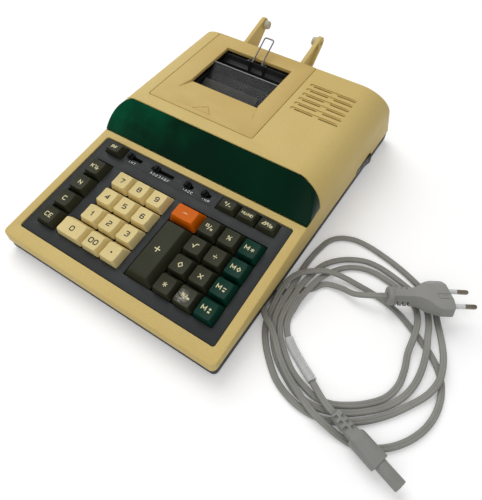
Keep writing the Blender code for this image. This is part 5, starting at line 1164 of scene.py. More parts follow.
def make_plug(settings):
    """Two-pin plug: round collar, slotted neck, flat body with thin edges, two sleeved pins.

    It is built level at the origin and then laid in its place.
    """
    grey = sheathed("plug_vinyl", settings.plug_colour)
    half, neck, thick, over = 0.01765, 0.0053, 0.00685, 0.0005
    plan = [(0.0020, neck)] + swell(0.0200, 0.0385, 14, neck + 0.0004, half)
    plan += [(0.0448, half + 0.0001), (0.0460, half - 0.0004)]
    plan += [(0.0470, half - 0.0012), (0.0475, half - 0.0026)]
    plug = prism("plug_body", mirrored(plan), -thick - over, thick + over, LEVEL)
    side = [(0.0, neck), (0.0200, neck + 0.0002), (0.0335, thick + over), (0.0500, thick + over)]
    keep(plug, prism("plug_side", mirrored(side), -0.03, 0.03, FRONT_VIEW))
    flat, corner = 0.0093, 0.0034 - 0.0003
    section = mirrored([(-half - 0.002, corner), (-flat, thick), (flat, thick), (half + 0.002, corner)])
    keep(plug, prism("plug_section", section, -0.06, 0.06, SIDE_VIEW))
    soften(plug, 0.0007, 4, 24.0)
    weld_to(plug, turned("plug_collar", button(0.0042, 0.0074, 0.0008), (0.0, 0.0, 0.0), (1, 0, 0), LEVEL))
    for index in range(3):
        start = 0.0040 + 0.0040 * (index + 0.6)
        for way in (-1.0, 1.0):
            near, far = sorted((way * (neck - 0.0022), way * 0.0120))
            low, high = sorted((way * 0.0008, way * 0.0060))
            name = f"plug_slot_{index}_{way:+.0f}"
            cut(plug, block(name, (start, near, low), (start + 0.0014, far, high), LEVEL))
    upward, x, y = (0, 0, 1), 0.0415, -0.0057
    ring = turned("plug_mark", [(0.0, 0.0023), (0.0004, 0.0023)], (x, y, thick - 0.0002), upward, LEVEL)
    cut(ring, turned("plug_mark_bore", [(-0.001, 0.0018), (0.002, 0.0018)], (x, y, thick), upward, LEVEL))
    settle(ring)
    outer = rounded((0.0366, -0.0088), (0.0500, -0.0026), 0.0012)
    inner = rounded((0.0370, -0.0084), (0.0502, -0.0030), 0.0010)
    groove = prism("plug_groove", outer, thick - 0.00035, 0.02, LEVEL)
    cut(groove, prism("groove_island", inner, 0.0, 0.03, LEVEL))
    settle(groove)
    cut(plug, groove)
    settle(plug)
    paint(plug, grey)
    paint(ring, grey)
    plug = join("two_pin_plug", plug, ring, *plug_pins())
    plug.data.transform(PLUG_AXES)
    return place_piece(plug, "machine", ["mains_plug"], "plug_grey")


def make_connector(settings):
    """Figure-eight connector: notched strain relief, round shoulders, body and holed nose.

    It is built level at the origin and then laid in its place.
    """
    half, relief, shoulder, thick, over = 0.0074, 0.0036, 0.0045, 0.0049, 0.0003
    plan = [(0.0, relief), (0.0180, shoulder)]
    for step in range(1, 9):
        angle = math.radians(90.0 * step / 8.0)
        x = 0.0180 + 0.0060 * (1.0 - math.cos(angle))
        plan.append((x, shoulder + (half - shoulder) * math.sin(angle)))
    plan += [(0.0393, half), (0.0400, half - 0.0007)]
    connector = prism("connector_body", mirrored(plan), -thick - 0.0005, thick + 0.0005, LEVEL)
    side = [(-0.002, 0.0037), (0.0180, 0.0037), (0.0195, 0.0043)]
    side += [(0.0240, thick + over), (0.0570, thick + over)]
    keep(connector, prism("connector_side", mirrored(side), -0.02, 0.02, FRONT_VIEW))
    section = rounded((-half, -thick), (half, thick), thick * 0.98, 10)
    keep(connector, prism("connector_section", section, -0.003, 0.0430, SIDE_VIEW))
    soften(connector, 0.0005, 3, 30.0)
    eight = rounded((-0.0047, -0.0040), (0.0047, 0.0040), 0.0039, 10)
    nose = prism("connector_nose", eight, 0.036, 0.057, SIDE_VIEW)
    soften(nose, 0.0004, 2, 50.0)
    settle(nose)
    weld_to(connector, nose)
    notch = block("notch", (0.0, 0.0009, 0.0023), (0.0022, 0.0070, 0.0060), LEVEL)
    for row, way in enumerate((-1.0, 1.0)):
        for face in (-1.0, 1.0):
            unit = notch.copy()
            unit.data = notch.data.copy()
            bpy.context.scene.collection.objects.link(unit)
            unit.data.transform(Matrix.Diagonal((1.0, way, face, 1.0)))
            bm = bmesh.new()
            bm.from_mesh(unit.data)
            bmesh.ops.recalc_face_normals(bm, faces=bm.faces)
            bm.to_mesh(unit.data)
            bm.free()
            start = 0.0045 * (0.35 + 0.5 * row)
            place = Matrix.Translation((start, 0.0, 0.0))
            cut(connector, repeated(f"notches_{row}_{face:+.0f}", unit, (3, 1), (0.0045, 0.0), place))
    bpy.data.objects.remove(notch, do_unlink=True)
    hole = [(0.0, 0.0015), (0.0140, 0.0015)]
    for way in (-1.0, 1.0):
        start = (0.0460, way * 0.0022, 0.0)
        cut(connector, turned(f"nose_hole_{way:+.0f}", hole, start, (1, 0, 0), LEVEL, 24))
    settle(connector)
    paint(connector, sheathed("plug_vinyl", settings.plug_colour))
    connector.name = "mains_connector"
    connector.data.transform(Matrix.Translation((0.0, 0.0, 0.0003)) @ CONNECTOR_AXES)
    return place_piece(connector, "machine", ["cord_connector"], "plug_grey")


# Case and keyboard
def housing_section(name, half_width, top, radius):
    """The housing's round-shouldered section, long enough to pass through the whole case."""
    points = [(-half_width, -0.15), (half_width, -0.15)]
    points += arc((half_width - radius, top - radius), radius, 0, 90, 22)
    points += arc((-half_width + radius, top - radius), radius, 90, 180, 22)
    return prism(name, points, -CASE_DEPTH, CASE_DEPTH, ROOF @ FRONT_VIEW)


def side_outline():
    """Side view of the top case, anticlockwise from the rear foot."""
    return [
        (0.0, CASE_FOOT),
        (CASE_DEPTH, CASE_FOOT),
        (ROOF_REAR_RUN, ROOF_REAR_HEIGHT),
        (WINDOW_TOP_RUN, WINDOW_TOP_HEIGHT),
        (WINDOW_TOP_RUN, WINDOW_BACK_HEIGHT),
        (0.0, FRONT_HEIGHT),
    ]


def rocker_notch(name):
    """The space of the power switch in the right-hand wall."""
    return block(name, (0.0983, 0.2378, 0.0077), (0.1100, 0.2696, 0.0195), MACHINE)


def beige(name, colour, aged, patches):
    """The case's spark-eroded plastic, its yellowed patches as features a metre."""
    return moulded(name, colour, aged, 0.52, 2600.0, 0.00005, patches, 0.22)


# Vents: name, size, corner radius, underside, counts, pitch across and first corner
VENTS = (
    ("vent_channel", (0.0474, 0.0039), 0.0018, -0.0009, (1, 6), 0.0, (0.0388, 0.0635)),
    ("vent_slot", (0.0184, 0.0016), 0.0007, -0.01, (2, 6), 0.0240, (0.0423, 0.0647)),
)
VENT_PITCH = 0.0074


def make_case(settings):
    """The beige moulding: keyboard border, side walls and printer housing, open below."""
    outer = side_outline()
    case = prism("case_body", outer, -HALF_WIDTH, HALF_WIDTH, MACHINE_SIDE)
    keep(case, housing_section("case_section", HALF_WIDTH, 0.0, HOUSING_RADIUS))
    plan = rounded((-HALF_WIDTH, 0.0), (HALF_WIDTH, CASE_DEPTH + 0.02), 0.0045, 8)
    keep(case, prism("case_plan", plan, -0.01, 0.12, MACHINE))
    soften(case, settings.edge, 4, 25.0)
    over_window = [
        (WINDOW_FOOT_RUN, WINDOW_FOOT_HEIGHT),
        (WINDOW_TOP_RUN, WINDOW_BACK_HEIGHT),
        (WINDOW_TOP_RUN, WINDOW_TOP_HEIGHT + 0.02),
        (WINDOW_FOOT_RUN, WINDOW_TOP_HEIGHT + 0.02),
    ]
    cut(case, prism("window_space", over_window, -0.12, 0.12, MACHINE_SIDE))
    inner = inset_outline(outer, (-BEYOND, WALL, WALL, WALL, WALL, WALL))
    reach = HALF_WIDTH - WALL
    cavity = prism("case_cavity", inner, -reach, reach, MACHINE_SIDE)
    keep(cavity, housing_section("cavity_section", reach, -WALL, HOUSING_RADIUS - WALL))
    settle(cavity)
    cut(case, cavity)
    left, right, front = COVER
    seat, gap = -COVER_THICKNESS - SEAT_GAP, 0.0006
    near, far = (left - WALL, front - WALL, seat - 0.0030), (right + WALL, ROOF_LENGTH - WALL, -WALL / 2)
    weld_to(case, block("cover_rim", near, far, ROOF))
    pocket = rounded((left - gap, front - gap), (right + gap, ROOF_LENGTH + BEYOND), 0.0024)
    cut(case, prism("cover_pocket", pocket, seat, BEYOND, ROOF))
    near = (left + COVER_LEDGE, front + COVER_LEDGE, -BEYOND / 2.0)
    far = (right - COVER_LEDGE, ROOF_LENGTH - 2.0 * COVER_LEDGE, BEYOND)
    cut(case, block("printer_opening", near, far, ROOF))
    opening = rounded((-0.0993, 0.0119), (0.0993, 0.1250), 0.0024)
    cut(case, prism("panel_opening", opening, -2.0 * WALL, WALL, KEYBOARD))
    cut(case, block("display_opening", (-0.08, 0.1491, 0.048), (0.08, 0.1566, 0.064), MACHINE))
    cut(case, rocker_notch("case_rocker_notch"))
    cut(case, block("inlet_hole", (0.0617, 0.2910, 0.0090), (0.0883, 0.3225, 0.0303), MACHINE))
    soften(case, 0.00022, 2, 40.0)
    settle(case)
    for name, size, radius, low, counts, pitch, corner in VENTS:
        vent = prism(name, rounded((0.0, 0.0), size, radius), low, 0.01, LEVEL)
        place = ROOF @ Matrix.Translation((*corner, 0.0))
        cut(case, repeated(name + "s", vent, counts, (pitch, VENT_PITCH), place))
    settle(case)
    paint(case, beige("beige_case_plastic", settings.shell_colour, settings.shell_aged, 7.0))
    # Painted shade: a dark brown plate under the vent slots darkens what is seen through them.
    shade_plate = block("vent_felt", (0.0400, 0.0620, -0.0049), (0.0852, 0.1060, -0.0033), ROOF)
    brown = moulded("dust_felt", (0.020, 0.014, 0.008), (0.030, 0.022, 0.012), 0.9, 1500.0, 0.0001, 20.0)
    case = join("case_moulded", case, paint(shade_plate, brown))
    return place_piece(case, "machine", ["top_case"], "beige_shell")


def make_cover(settings):
    """The tan plate over the printer: paper opening, ramp and an engraved mark for opening it."""
    left, right, front = COVER
    plate = rounded((left, front), (right, ROOF_LENGTH + 0.004), 0.0020)
    cover = prism("cover_plate", plate, -COVER_THICKNESS, 0.0, ROOF)
    near, far = (left - 0.01, ROOF_LENGTH, -0.01), (right + 0.01, ROOF_LENGTH + 0.01, 0.01)
    cut(cover, block("cover_end", near, far, ROOF))
    paper_left, paper_right, paper_front, paper_rear = PAPER
    opening = rounded((paper_left, paper_front), (paper_right, paper_rear), 0.0006)
    cut(cover, prism("paper_opening", opening, -0.01, 0.01, ROOF))
    flare, foot = 0.0042, paper_front - RAMP_LENGTH
    slope = [
        (foot, 0.0),
        (paper_front + WALL, -RAMP_DEPTH * (1.0 + WALL / RAMP_LENGTH)),
        (paper_front + WALL, BEYOND),
        (foot, BEYOND),
    ]
    ramp = prism("paper_ramp", slope, paper_left - flare, paper_right + flare, ROOF @ SIDE_VIEW)
    spread_out = [
        (paper_left - flare, foot - 0.001),
        (paper_right + flare, foot - 0.001),
        (paper_right + flare, foot + 0.001),
        (paper_right, paper_front),
        (paper_right, paper_front + 2.0 * WALL),
        (paper_left, paper_front + 2.0 * WALL),
        (paper_left, paper_front),
        (paper_left - flare, foot + 0.001),
    ]
    keep(ramp, prism("ramp_plan", spread_out, -0.01, 0.01, ROOF))
    settle(ramp)
    cut(cover, ramp)
    corners = [Vector((-0.0334, 0.0180)), Vector((-0.0147, 0.0181)), Vector((-0.0222, 0.0262))]
    for index, start in enumerate(corners):
        end = corners[(index + 1) % 3]
        side = (end - start).normalized()
        normal = Vector((-side.y, side.x)) * 0.00022
        line = [start - normal, end - normal, end + normal, start + normal]
        cut(cover, prism(f"mark_{index}", [(p.x, p.y) for p in line], -0.00018, 0.001, ROOF))
    soften(cover, 0.00025, 2, 40.0)
    settle(cover)
    paint(cover, beige("tan_cover_plastic", settings.cover_colour, settings.cover_aged, 8.0))
    return place_piece(cover, "printer_cover", ["printer_cover"], "tan_cover")


def key_openings():
    """Panel openings as low and high corners, each shared by neighbouring keys."""
    table = {key[0]: key for key in key_list()}
    clear = 0.0005
    openings = []
    for names in (
        ("key_feed",),
        ("key_constant", "key_clear_entry"),
        ("key_7", "key_point"),
        ("key_0",),
        ("key_minus", "key_memory_plus"),
        ("key_sign", "key_change"),
    ):
        keys = [table[name] for name in names]
        low = (min(k[1] - k[3] / 2.0 for k in keys) - clear, min(k[2] - k[4] / 2.0 for k in keys) - clear)
        high = (max(k[1] + k[3] / 2.0 for k in keys) + clear, max(k[2] + k[4] / 2.0 for k in keys) + clear)
        openings.append((low, high))
    return openings


SWITCHES = (
    ("slide_switch_1", -0.0685, -0.0525, -0.0647),
    ("slide_switch_2", -0.0409, -0.0167, -0.0350),
    ("slide_switch_3", -0.0052, 0.0044, -0.0010),
    ("slide_switch_4", 0.0135, 0.0230, 0.0172),
)
SWITCH_RUN = 0.1176
STRIP_SUNK = 0.00018


def make_panel(settings):
    """The dark plate round the keys, with the shallow strip of the slide switches and their marks."""
    low, high = -0.0030, -PANEL_SUNK
    panel = prism("panel_plate", rounded((-0.0988, 0.0125), (0.0988, 0.1246), 0.0020), low, high, KEYBOARD)
    strip = rounded((-0.0712, 0.1100), (0.0279, 0.1233), 0.0004)
    cut(panel, prism("switch_strip", strip, high - STRIP_SUNK, 0.01, KEYBOARD))
    for index, (near, far) in enumerate(key_openings()):
        cut(panel, prism(f"key_opening_{index}", rounded(near, far, 0.0008), -0.01, 0.01, KEYBOARD))
    for name, left, right, _ in SWITCHES:
        outline = rounded((left, SWITCH_RUN - 0.0018), (right, SWITCH_RUN + 0.0018), 0.0004)
        cut(panel, prism(name + "_slot", outline, -0.01, 0.01, KEYBOARD))
    soften(panel, 0.00022, 2, 40.0)
    settle(panel)
    colours = settings.panel_colour, settings.panel_aged
    paint(panel, moulded("dark_panel_plastic", *colours, 0.55, 2400.0, 0.00006, 10.0))
    marks = [(glyph, x / 1000.0, v / 1000.0, 0.0016, 0.0021) for glyph, x, v in SWITCH_MARKS]
    printed = lettered("panel_marks", marks, 0.00038, lambda x, y: high - STRIP_SUNK, white_print(), KEYBOARD)
    return place_piece(join("keyboard_panel", panel, printed), "machine", ["key_panel"], "panel_grey")


def make_switches():
    """Four ridged slide knobs with their necks in the panel's slots."""
    colours = (0.0035, 0.0035, 0.004), (0.006, 0.006, 0.0065)
    black = moulded("switch_plastic", *colours, 0.5, 2400.0, 0.00003, shine=0.08)
    top = -PANEL_SUNK + SEAT_GAP
    for name, _, _, rest in SWITCHES:
        plate = rounded((rest - 0.0031, SWITCH_RUN - 0.0026), (rest + 0.0031, SWITCH_RUN + 0.0026), 0.0006)
        knob = prism(name + "_knob", plate, top, top + 0.0018, KEYBOARD)
        for part, across, along, low, high in (
            ("_ridge", 0.0013, 0.0023, top, top + 0.0036),
            ("_neck", 0.0020, 0.0012, -0.0045, top + 0.0003),
        ):
            near, far = (rest - across, SWITCH_RUN - along, low), (rest + across, SWITCH_RUN + along, high)
            weld_to(knob, block(name + part, near, far, KEYBOARD))
        soften(knob, 0.00020, 2, 40.0)
        settle(knob)
        paint(knob, black)
        knob.name = name + "_ridged"
        place_piece(knob, name, [name], "black_plastic")


def make_window(settings):
    """The deep green window that wraps round the front of the housing."""
    outer = [
        (WINDOW_FOOT_RUN, WINDOW_FOOT_HEIGHT),
        (WINDOW_TOP_RUN, WINDOW_BACK_HEIGHT),
        (WINDOW_TOP_RUN, WINDOW_TOP_HEIGHT),
    ]
    seated = inset_outline(outer, (SEAT_GAP, SEAT_GAP, 0.0))
    window = prism("window_body", seated, -HALF_WIDTH, HALF_WIDTH, MACHINE_SIDE)
    keep(window, housing_section("window_section", HALF_WIDTH, 0.0, HOUSING_RADIUS))
    soften(window, 0.0007, 4, 25.0)
    thick = 0.0030
    reach = HALF_WIDTH - thick
    inner = inset_outline(outer, (-thick, -thick, thick))
    hollow = prism("window_hollow", inner, -reach, reach, MACHINE_SIDE)
    keep(hollow, housing_section("window_inner_section", reach, -thick, HOUSING_RADIUS - thick))
    settle(hollow)
    cut(window, hollow)
    settle(window)
    # The window's paler green is partly painted sheen, strongest towards the left.
    paint(window, tinted_window("green_acrylic", settings.window_deep, settings.window_sheen))
    window.name = "green_window"
    return place_piece(window, "machine", ["display_window"], "window_green")


def make_base(settings):
    """The dark tray under the case, with its rubber feet and screws."""
    half, end, draft = 0.1065, CASE_DEPTH - 0.0010, (0.0040, 0.0010)
    pan = block("pan_body", (-half, 0.0010, FOOT_HEIGHT), (half, end, 0.0112), MACHINE, draft)
    soften(pan, 0.0008, 3, 30.0)
    near, far = (-half + 0.0025, 0.0035, 0.0055), (half - 0.0025, end - 0.0025, 0.0137)
    cut(pan, block("pan_hollow", near, far, MACHINE, draft))
    outer, front, rear = 0.1074, 0.0013, end + 0.0008
    lip = block("pan_lip", (-outer, front, FOOT_HEIGHT), (outer, rear, CASE_FOOT - 0.0003), MACHINE)
    keep(lip, prism("lip_plan", rounded((-outer, front), (outer, rear), 0.0042, 6), -0.01, 0.02, MACHINE))
    soften(lip, 0.0008, 3, 30.0)
    cut(lip, block("lip_hollow", (-0.1049, 0.0026, 0.0050), (0.1049, end - 0.0018, 0.02), MACHINE))
    weld_to(pan, lip)
    cut(pan, rocker_notch("pan_rocker_notch"))
    slot = prism("pan_slot", rounded((0.0, 0.0), (0.0020, 0.0280), 0.0009), 0.0, 0.02, LEVEL)
    place = MACHINE @ Matrix.Translation((0.0440, 0.2000, 0.0))
    cut(pan, repeated("pan_slots", slot, (9, 1), (0.0060, 0.0), place))
    upward, steps = (0, 0, 1), (0.1300, 0.2500)
    screws = MACHINE @ Matrix.Translation((-0.0650, 0.0350, 0.0))
    bore = [(0.0, 0.0042), (0.0014, 0.0042)]
    well = turned("screw_well", bore, (0.0, 0.0, FOOT_HEIGHT - 0.0002), upward, LEVEL, 24)
    cut(pan, repeated("screw_wells", well, (2, 2), steps, screws))
    settle(pan)
    paint(pan, moulded("base_plastic", settings.base_colour, shade(settings.base_colour, 1.3), 0.6, 2200.0))
    parts = [pan]
    pad = [(0.0, 0.0), (0.0, 0.0066), (0.0007, 0.0073), (0.0016, 0.0075), (0.0042, 0.0075), (0.0042, 0.0)]
    black = rubber("foot_rubber", (0.018, 0.018, 0.019))
    for x in (-0.0845, 0.0845):
        for run in (0.0220, 0.2980):
            foot = turned(f"foot_{x:+.3f}_{run:.3f}", pad, (x, run, 0.0), upward, MACHINE)
            parts.append(smoothed(paint(foot, black), 45))
    profile = [(0.0, 0.0), (0.0, 0.0026), (0.0006, 0.0031), (0.0013, 0.0031), (0.0013, 0.0)]
    head = turned("screw_head", profile, (0.0, 0.0, FOOT_HEIGHT + 0.0003), upward, LEVEL, 24)
    near, far = (-0.0019, -0.0003, 0.0), (0.0019, 0.0003, FOOT_HEIGHT + 0.0009)
    for turn in range(2):
        cut(head, block(f"cross_{turn}", near, far, Matrix.Rotation(math.radians(90.0 * turn), 4, "Z")))
    settle(head)
    steel = metal("screw_steel", (0.50, 0.50, 0.51), 0.30)
    parts.append(repeated("screws", head, (2, 2), steps, screws, steel))
    return place_piece(join("base_tray", *parts), "machine", ["base_pan"], "dark_base")


# Printer
def make_printer():
    """The print unit's dark frame: side plates, ribbed paper guide, back plate and bail ears."""
    colours = (0.014, 0.015, 0.016), (0.024, 0.025, 0.026)
    dark = moulded("printer_plastic", *colours, 0.45, 2200.0, 0.00004, 20.0, 0.35)
    body = block("frame_body", (FRAME_LEFT, 0.1920, 0.0160), (FRAME_RIGHT, 0.2740, 0.0655), MACHINE)
    inner = (FRAME_LEFT + FRAME_PLATE, FRAME_RIGHT - FRAME_PLATE)
    cut(body, block("frame_well", (inner[0], 0.1895, 0.0185), (inner[1], 0.2765, 0.0680), MACHINE))
    guide = [(0.1990, 0.0600), (0.2280, 0.0460), (0.2280, 0.0480), (0.1990, 0.0620)]
    reach = (FRAME_LEFT + FRAME_PLATE / 2.0, FRAME_RIGHT - FRAME_PLATE / 2.0)
    weld_to(body, prism("paper_guide", guide, *reach, MACHINE_SIDE))
    back = [(BACK_PLATE_RUN, 0.0173), (0.2575, 0.0173), (0.2575, 0.0630), (0.2608, 0.0668), (0.2608, 0.0727)]
    back += [(0.2593, 0.0727), (0.2593, 0.0674), (BACK_PLATE_RUN, 0.0655)]
    weld_to(body, prism("back_plate", back, *reach, MACHINE_SIDE))
    for name, (run, height, _) in (("roller", ROLLER), ("drum", DRUM)):
        line = [(0.0, 0.0023), (0.10, 0.0023)]
        cut(body, turned(name + "_bore", line, (FRAME_LEFT - 0.01, run, height), (1, 0, 0), MACHINE, 24))
    left, right, run, height = BAIL[:4]
    for index, x in enumerate((left - BAIL_BEND - 0.0011, right + BAIL_BEND + 0.0011)):
        ear = [(BACK_PLATE_RUN, 0.0630), (0.2575, 0.0630)] + arc((run, height), 0.0021, -30, 210, 14)
        weld_to(body, prism(f"bail_ear_{index}", ear, x - 0.0011, x + 0.0011, MACHINE_SIDE))
    soften(body, 0.0003, 2, 40.0)
    settle(body)
    paint(body, dark)
    rib = block("back_rib", (0.0, -0.0005, 0.0), (0.0008, 0.0003, 0.0180), LEVEL)
    place = MACHINE @ Matrix.Translation((-0.0560, BACK_PLATE_RUN, 0.0450))
    back_ribs = repeated("back_ribs", rib, (12, 1), (0.0062, 0.0), place, dark)
    frame_piece = join("print_unit_frame", body, back_ribs)
    return place_piece(frame_piece, "machine", ["printer_frame"], "black_plastic")


def make_rollers():
    """The rubber feed roller and the print drum with its type wheels, both on steel shafts."""
    steel = metal("shaft_steel", (0.50, 0.50, 0.51), 0.25)
    start = FRAME_LEFT - 0.0015
    length = FRAME_RIGHT + 0.0015 - start
    left = FRAME_PLATE + SEAT_GAP + 0.0015
    right = length - left
    for name, (run, height, radius), finish, slot in (
        ("platen_roller", ROLLER, rubber("roller_rubber", (0.018, 0.018, 0.020)), "rubber"),
        ("print_drum", DRUM, metal("drum_steel", (0.22, 0.22, 0.23), 0.35), "core_steel"),
    ):
        if name == "platen_roller":
            profile = [(left, 0.0), (left, radius - 0.0006), (left + 0.0006, radius)]
            profile += [(right - 0.0006, radius), (right, radius - 0.0006), (right, 0.0)]
        else:
            profile = [(left, 0.0)]
            wheel = (right - left) / 18.0
            for index in range(18):
                here = left + wheel * index
                profile += [(here, radius - 0.0010), (here + wheel * 0.18, radius - 0.0010)]
                profile += [(here + wheel * 0.24, radius), (here + wheel * 0.92, radius)]
            profile += [(right, radius - 0.0010), (right, 0.0)]
        place, across, rod = (start, run, height), (1, 0, 0), button(length, 0.0020, 0.0003)
        body = paint(turned(name + "_body", profile, place, across, MACHINE), finish)
        shaft = paint(turned(name + "_shaft", rod, place, across, MACHINE), steel)
        place_piece(smoothed(join(name + "_turned", body, shaft), 35), name, [name], slot)


def make_tear_bar(settings):
    """The clear tear bar with its fine teeth along the top, and a pale strip along them that is a painted
    highlight.
    """
    rise, reach = 0.0144, 0.0265
    length = math.hypot(rise, reach)
    tilt = Matrix.Rotation(math.atan2(rise, reach), 4, "X")
    lean = MACHINE @ Matrix.Translation((0.0, 0.2130, 0.0600)) @ tilt
    wide_left, wide_right = FRAME_LEFT + FRAME_PLATE + SEAT_GAP, FRAME_RIGHT - FRAME_PLATE - SEAT_GAP
    left, right = PAPER[0] + 0.0006, PAPER[1] - 0.0006
    teeth = []
    count = 60
    for index in range(count, -1, -1):
        x = left + (right - left) * index / count
        teeth.append((x, length))
        if index:
            teeth.append((x - (right - left) * 0.5 / count, length - 0.0005))
    foot = 0.0070
    outline = [(wide_left, 0.0), (wide_right, 0.0), (wide_right, foot), (right, foot)]
    outline += [*teeth, (left, foot), (wide_left, foot)]
    bar = prism("tear_bar_sheet", outline, -0.0020, 0.0, lean)
    paint(bar, clear_sheet("smoked_clear_plastic", settings.tear_colour, 0.16, 0.35, 0.0))
    worn = moulded("rib_plastic", (0.110, 0.110, 0.100), (0.150, 0.148, 0.132), 0.5, 2200.0, 0.00004, 20.0)
    rib = block("foot_rib", (0.0, 0.0006, -0.0003), (0.0006, 0.0108, 0.0004), LEVEL)
    place = lean @ Matrix.Translation((left + 0.0006, 0.0, 0.0))
    ribs = repeated("foot_ribs", rib, (39, 1), (0.00155, 0.0), place, worn)
    # Painted highlight: a pale strip under the teeth, where the cut edge catches light.
    edge = block("tear_edge", (left, length - 0.0013, -0.0002), (right, length - 0.0006, 0.0003), lean)
    paint(edge, moulded("cut_clear_edge", (0.24, 0.24, 0.235), (0.30, 0.30, 0.29), 0.3))
    return place_piece(join("clear_tear_bar", bar, ribs, edge), "machine", ["tear_bar"], "clear_plastic")


def make_bail():
    """The bent steel wire that holds the paper back."""
    left, right, run, height, length = BAIL
    pivot = Vector((0.0, FRONT_Y + run, height))
    up = Vector((0.0, math.cos(BAIL_LEAN), math.sin(BAIL_LEAN)))
    steps = 7

    def place(x, along):
        return Vector((x, 0.0, 0.0)) + pivot + up * along

    line = [place(left - 0.0036 - BAIL_BEND, 0.0)]
    for x, side, order in ((left, 1.0, 0), (left, 1.0, 1), (right, -1.0, 1), (right, -1.0, 0)):
        corner = []
        for step in range(steps + 1):
            angle = math.radians(90.0 * step / steps)
            shift = BAIL_BEND * (1.0 - math.cos(angle))
            climb = BAIL_BEND * math.sin(angle)
            if order:
                corner.append(place(x + side * shift, length - BAIL_BEND + climb))
            else:
                corner.append(place(x - side * shift, BAIL_BEND - climb))
        forward = (x == left) == bool(order)
        line += corner if forward else list(reversed(corner))
    line.append(place(right + 0.0036 + BAIL_BEND, 0.0))
    section = arc((0.0, 0.0), 0.0007, 0, 330, 11)
    normal = Vector((1.0, 0.0, 0.0)).cross(up).normalized()
    bail = sweep("bail_wire", line, section, lambda along: along.cross(normal).normalized())
    paint(bail, metal("bail_steel", (0.23, 0.22, 0.205), 0.42))
    return place_piece(bail, "paper_bail", ["paper_bail"], "steel")


def rear_run(height):
    """Run of the leaning rear face's outer side at a height."""
    return ROOF_REAR_RUN + (ROOF_REAR_HEIGHT - height) * REAR_TAN


def make_arms(settings):
    """The two paper arms, hollow on their outer sides, and the hubs that carry a roll."""
    gap = SEAT_GAP * math.hypot(1.0, REAR_TAN)
    run, height, radius = ARM_TIP
    low, high = (rear_run(0.0500) + gap, 0.0500), (rear_run(0.0735) + gap, 0.0735)
    outline = [high, low] + arc((run, height), radius, -50, 105, 18)
    near_low = (run - 0.6 * radius, height - radius)
    near_high = (run - radius, height + radius)
    pocket = inset_outline([low, near_low, near_high, high], (0.0016, 0.0004, 0.00256, 0.0016))
    shell = beige("beige_arm_plastic", settings.shell_colour, settings.shell_aged, 12.0)
    white = moulded("hub_plastic", (0.58, 0.54, 0.41), (0.48, 0.44, 0.32), 0.45, 2400.0, 0.00003, 40.0)
    for side, outer, inward in (("left", -0.0540, 1.0), ("right", 0.0162, -1.0)):
        inner = outer + inward * ARM_THICKNESS
        name = "paper_arm_" + side
        arm = prism(name + "_plate", outline, min(outer, inner), max(outer, inner), MACHINE_SIDE)
        soften(arm, 0.0007, 3, 30.0)
        floor, beyond = inner - inward * 0.0015, outer - inward * 0.0030
        cut(arm, prism(name + "_pocket", pocket, min(floor, beyond), max(floor, beyond), MACHINE_SIDE))
        bore, start = [(0.0, 0.0021), (0.02, 0.0021)], (min(outer, inner) - 0.01, run, height)
        cut(arm, turned(name + "_bore", bore, start, (1, 0, 0), MACHINE, 24))
        soften(arm, 0.00020, 2, 45.0)
        settle(arm)
        paint(arm, shell)
        arm.name = name + "_moulded"
        place_piece(arm, name, [name], "beige_shell")
        start = inner + inward * SEAT_GAP
        hub = [(0.0, 0.0), (0.0, 0.0040), (0.0003, 0.0044), (0.0012, 0.0044), (0.0016, 0.0041)]
        hub += [(0.0042, 0.0040), (0.0048, 0.0036), (0.0050, 0.0030), (0.0050, 0.0016)]
        hub += [(0.0044, 0.0013), (0.0044, 0.0)]
        peg = turned("hub_" + side, hub, (start, run, height), (inward, 0, 0), MACHINE)
        pin_start = outer + inward * ARM_THICKNESS / 2.0
        rod = button(abs(start + inward * 0.0020 - pin_start), 0.0018, 0.0003)
        pin = turned("pin_" + side, rod, (pin_start, run, height), (inward, 0, 0), MACHINE)
        both = smoothed(join("roll_hub_" + side, paint(peg, white), paint(pin, white)), 40)
        place_piece(both, "arm_peg_" + side, ["arm_peg_" + side], "off_white")


# Back and right side
def rocker_rise(share):
    """How far the rocker's face stands out of the case, by the share of its length."""
    return 0.0030 * share ** 2.2 - 0.0004 * math.sin(math.pi * share)


def make_rocker():
    """The power switch's rocker, hollowed towards its two ends, with its marks."""
    half, back, run = 0.0147, HALF_WIDTH - 0.0060, 0.2530
    points = [(back, run - half), (HALF_WIDTH, run - half)]
    for step in range(1, 12):
        share = step / 12.0
        bulge = 0.0006 if share == 0.5 else 0.0
        points.append((HALF_WIDTH + rocker_rise(share) + bulge, run - half + 2.0 * half * share))
    points += [(HALF_WIDTH + 0.0030, run + half), (back, run + half)]
    rocker = prism("rocker_body", points, 0.0080, 0.0192, MACHINE)
    soften(rocker, 0.0004, 2, 40.0)
    settle(rocker)
    colours = (0.012, 0.012, 0.013), (0.018, 0.018, 0.019)
    paint(rocker, moulded("rocker_plastic", *colours, 0.38, 2400.0, 0.00003))
    marks = [("0", -0.0088, 0.0, 0.0028, 0.0036), ("1", 0.0088, 0.0, 0.0016, 0.0036)]

    def surface(x, _):
        return rocker_rise((x + half) / (2.0 * half))

    side = Matrix(((0, 0, 1, HALF_WIDTH), (1, 0, 0, run), (0, 1, 0, 0.0136), (0, 0, 0, 1)))
    printed = lettered("rocker_marks", marks, 0.0004, surface, white_print(), MACHINE @ side)
    switch = join("power_rocker_moulded", rocker, printed)
    return place_piece(switch, "power_rocker", ["power_rocker"], "black_plastic")


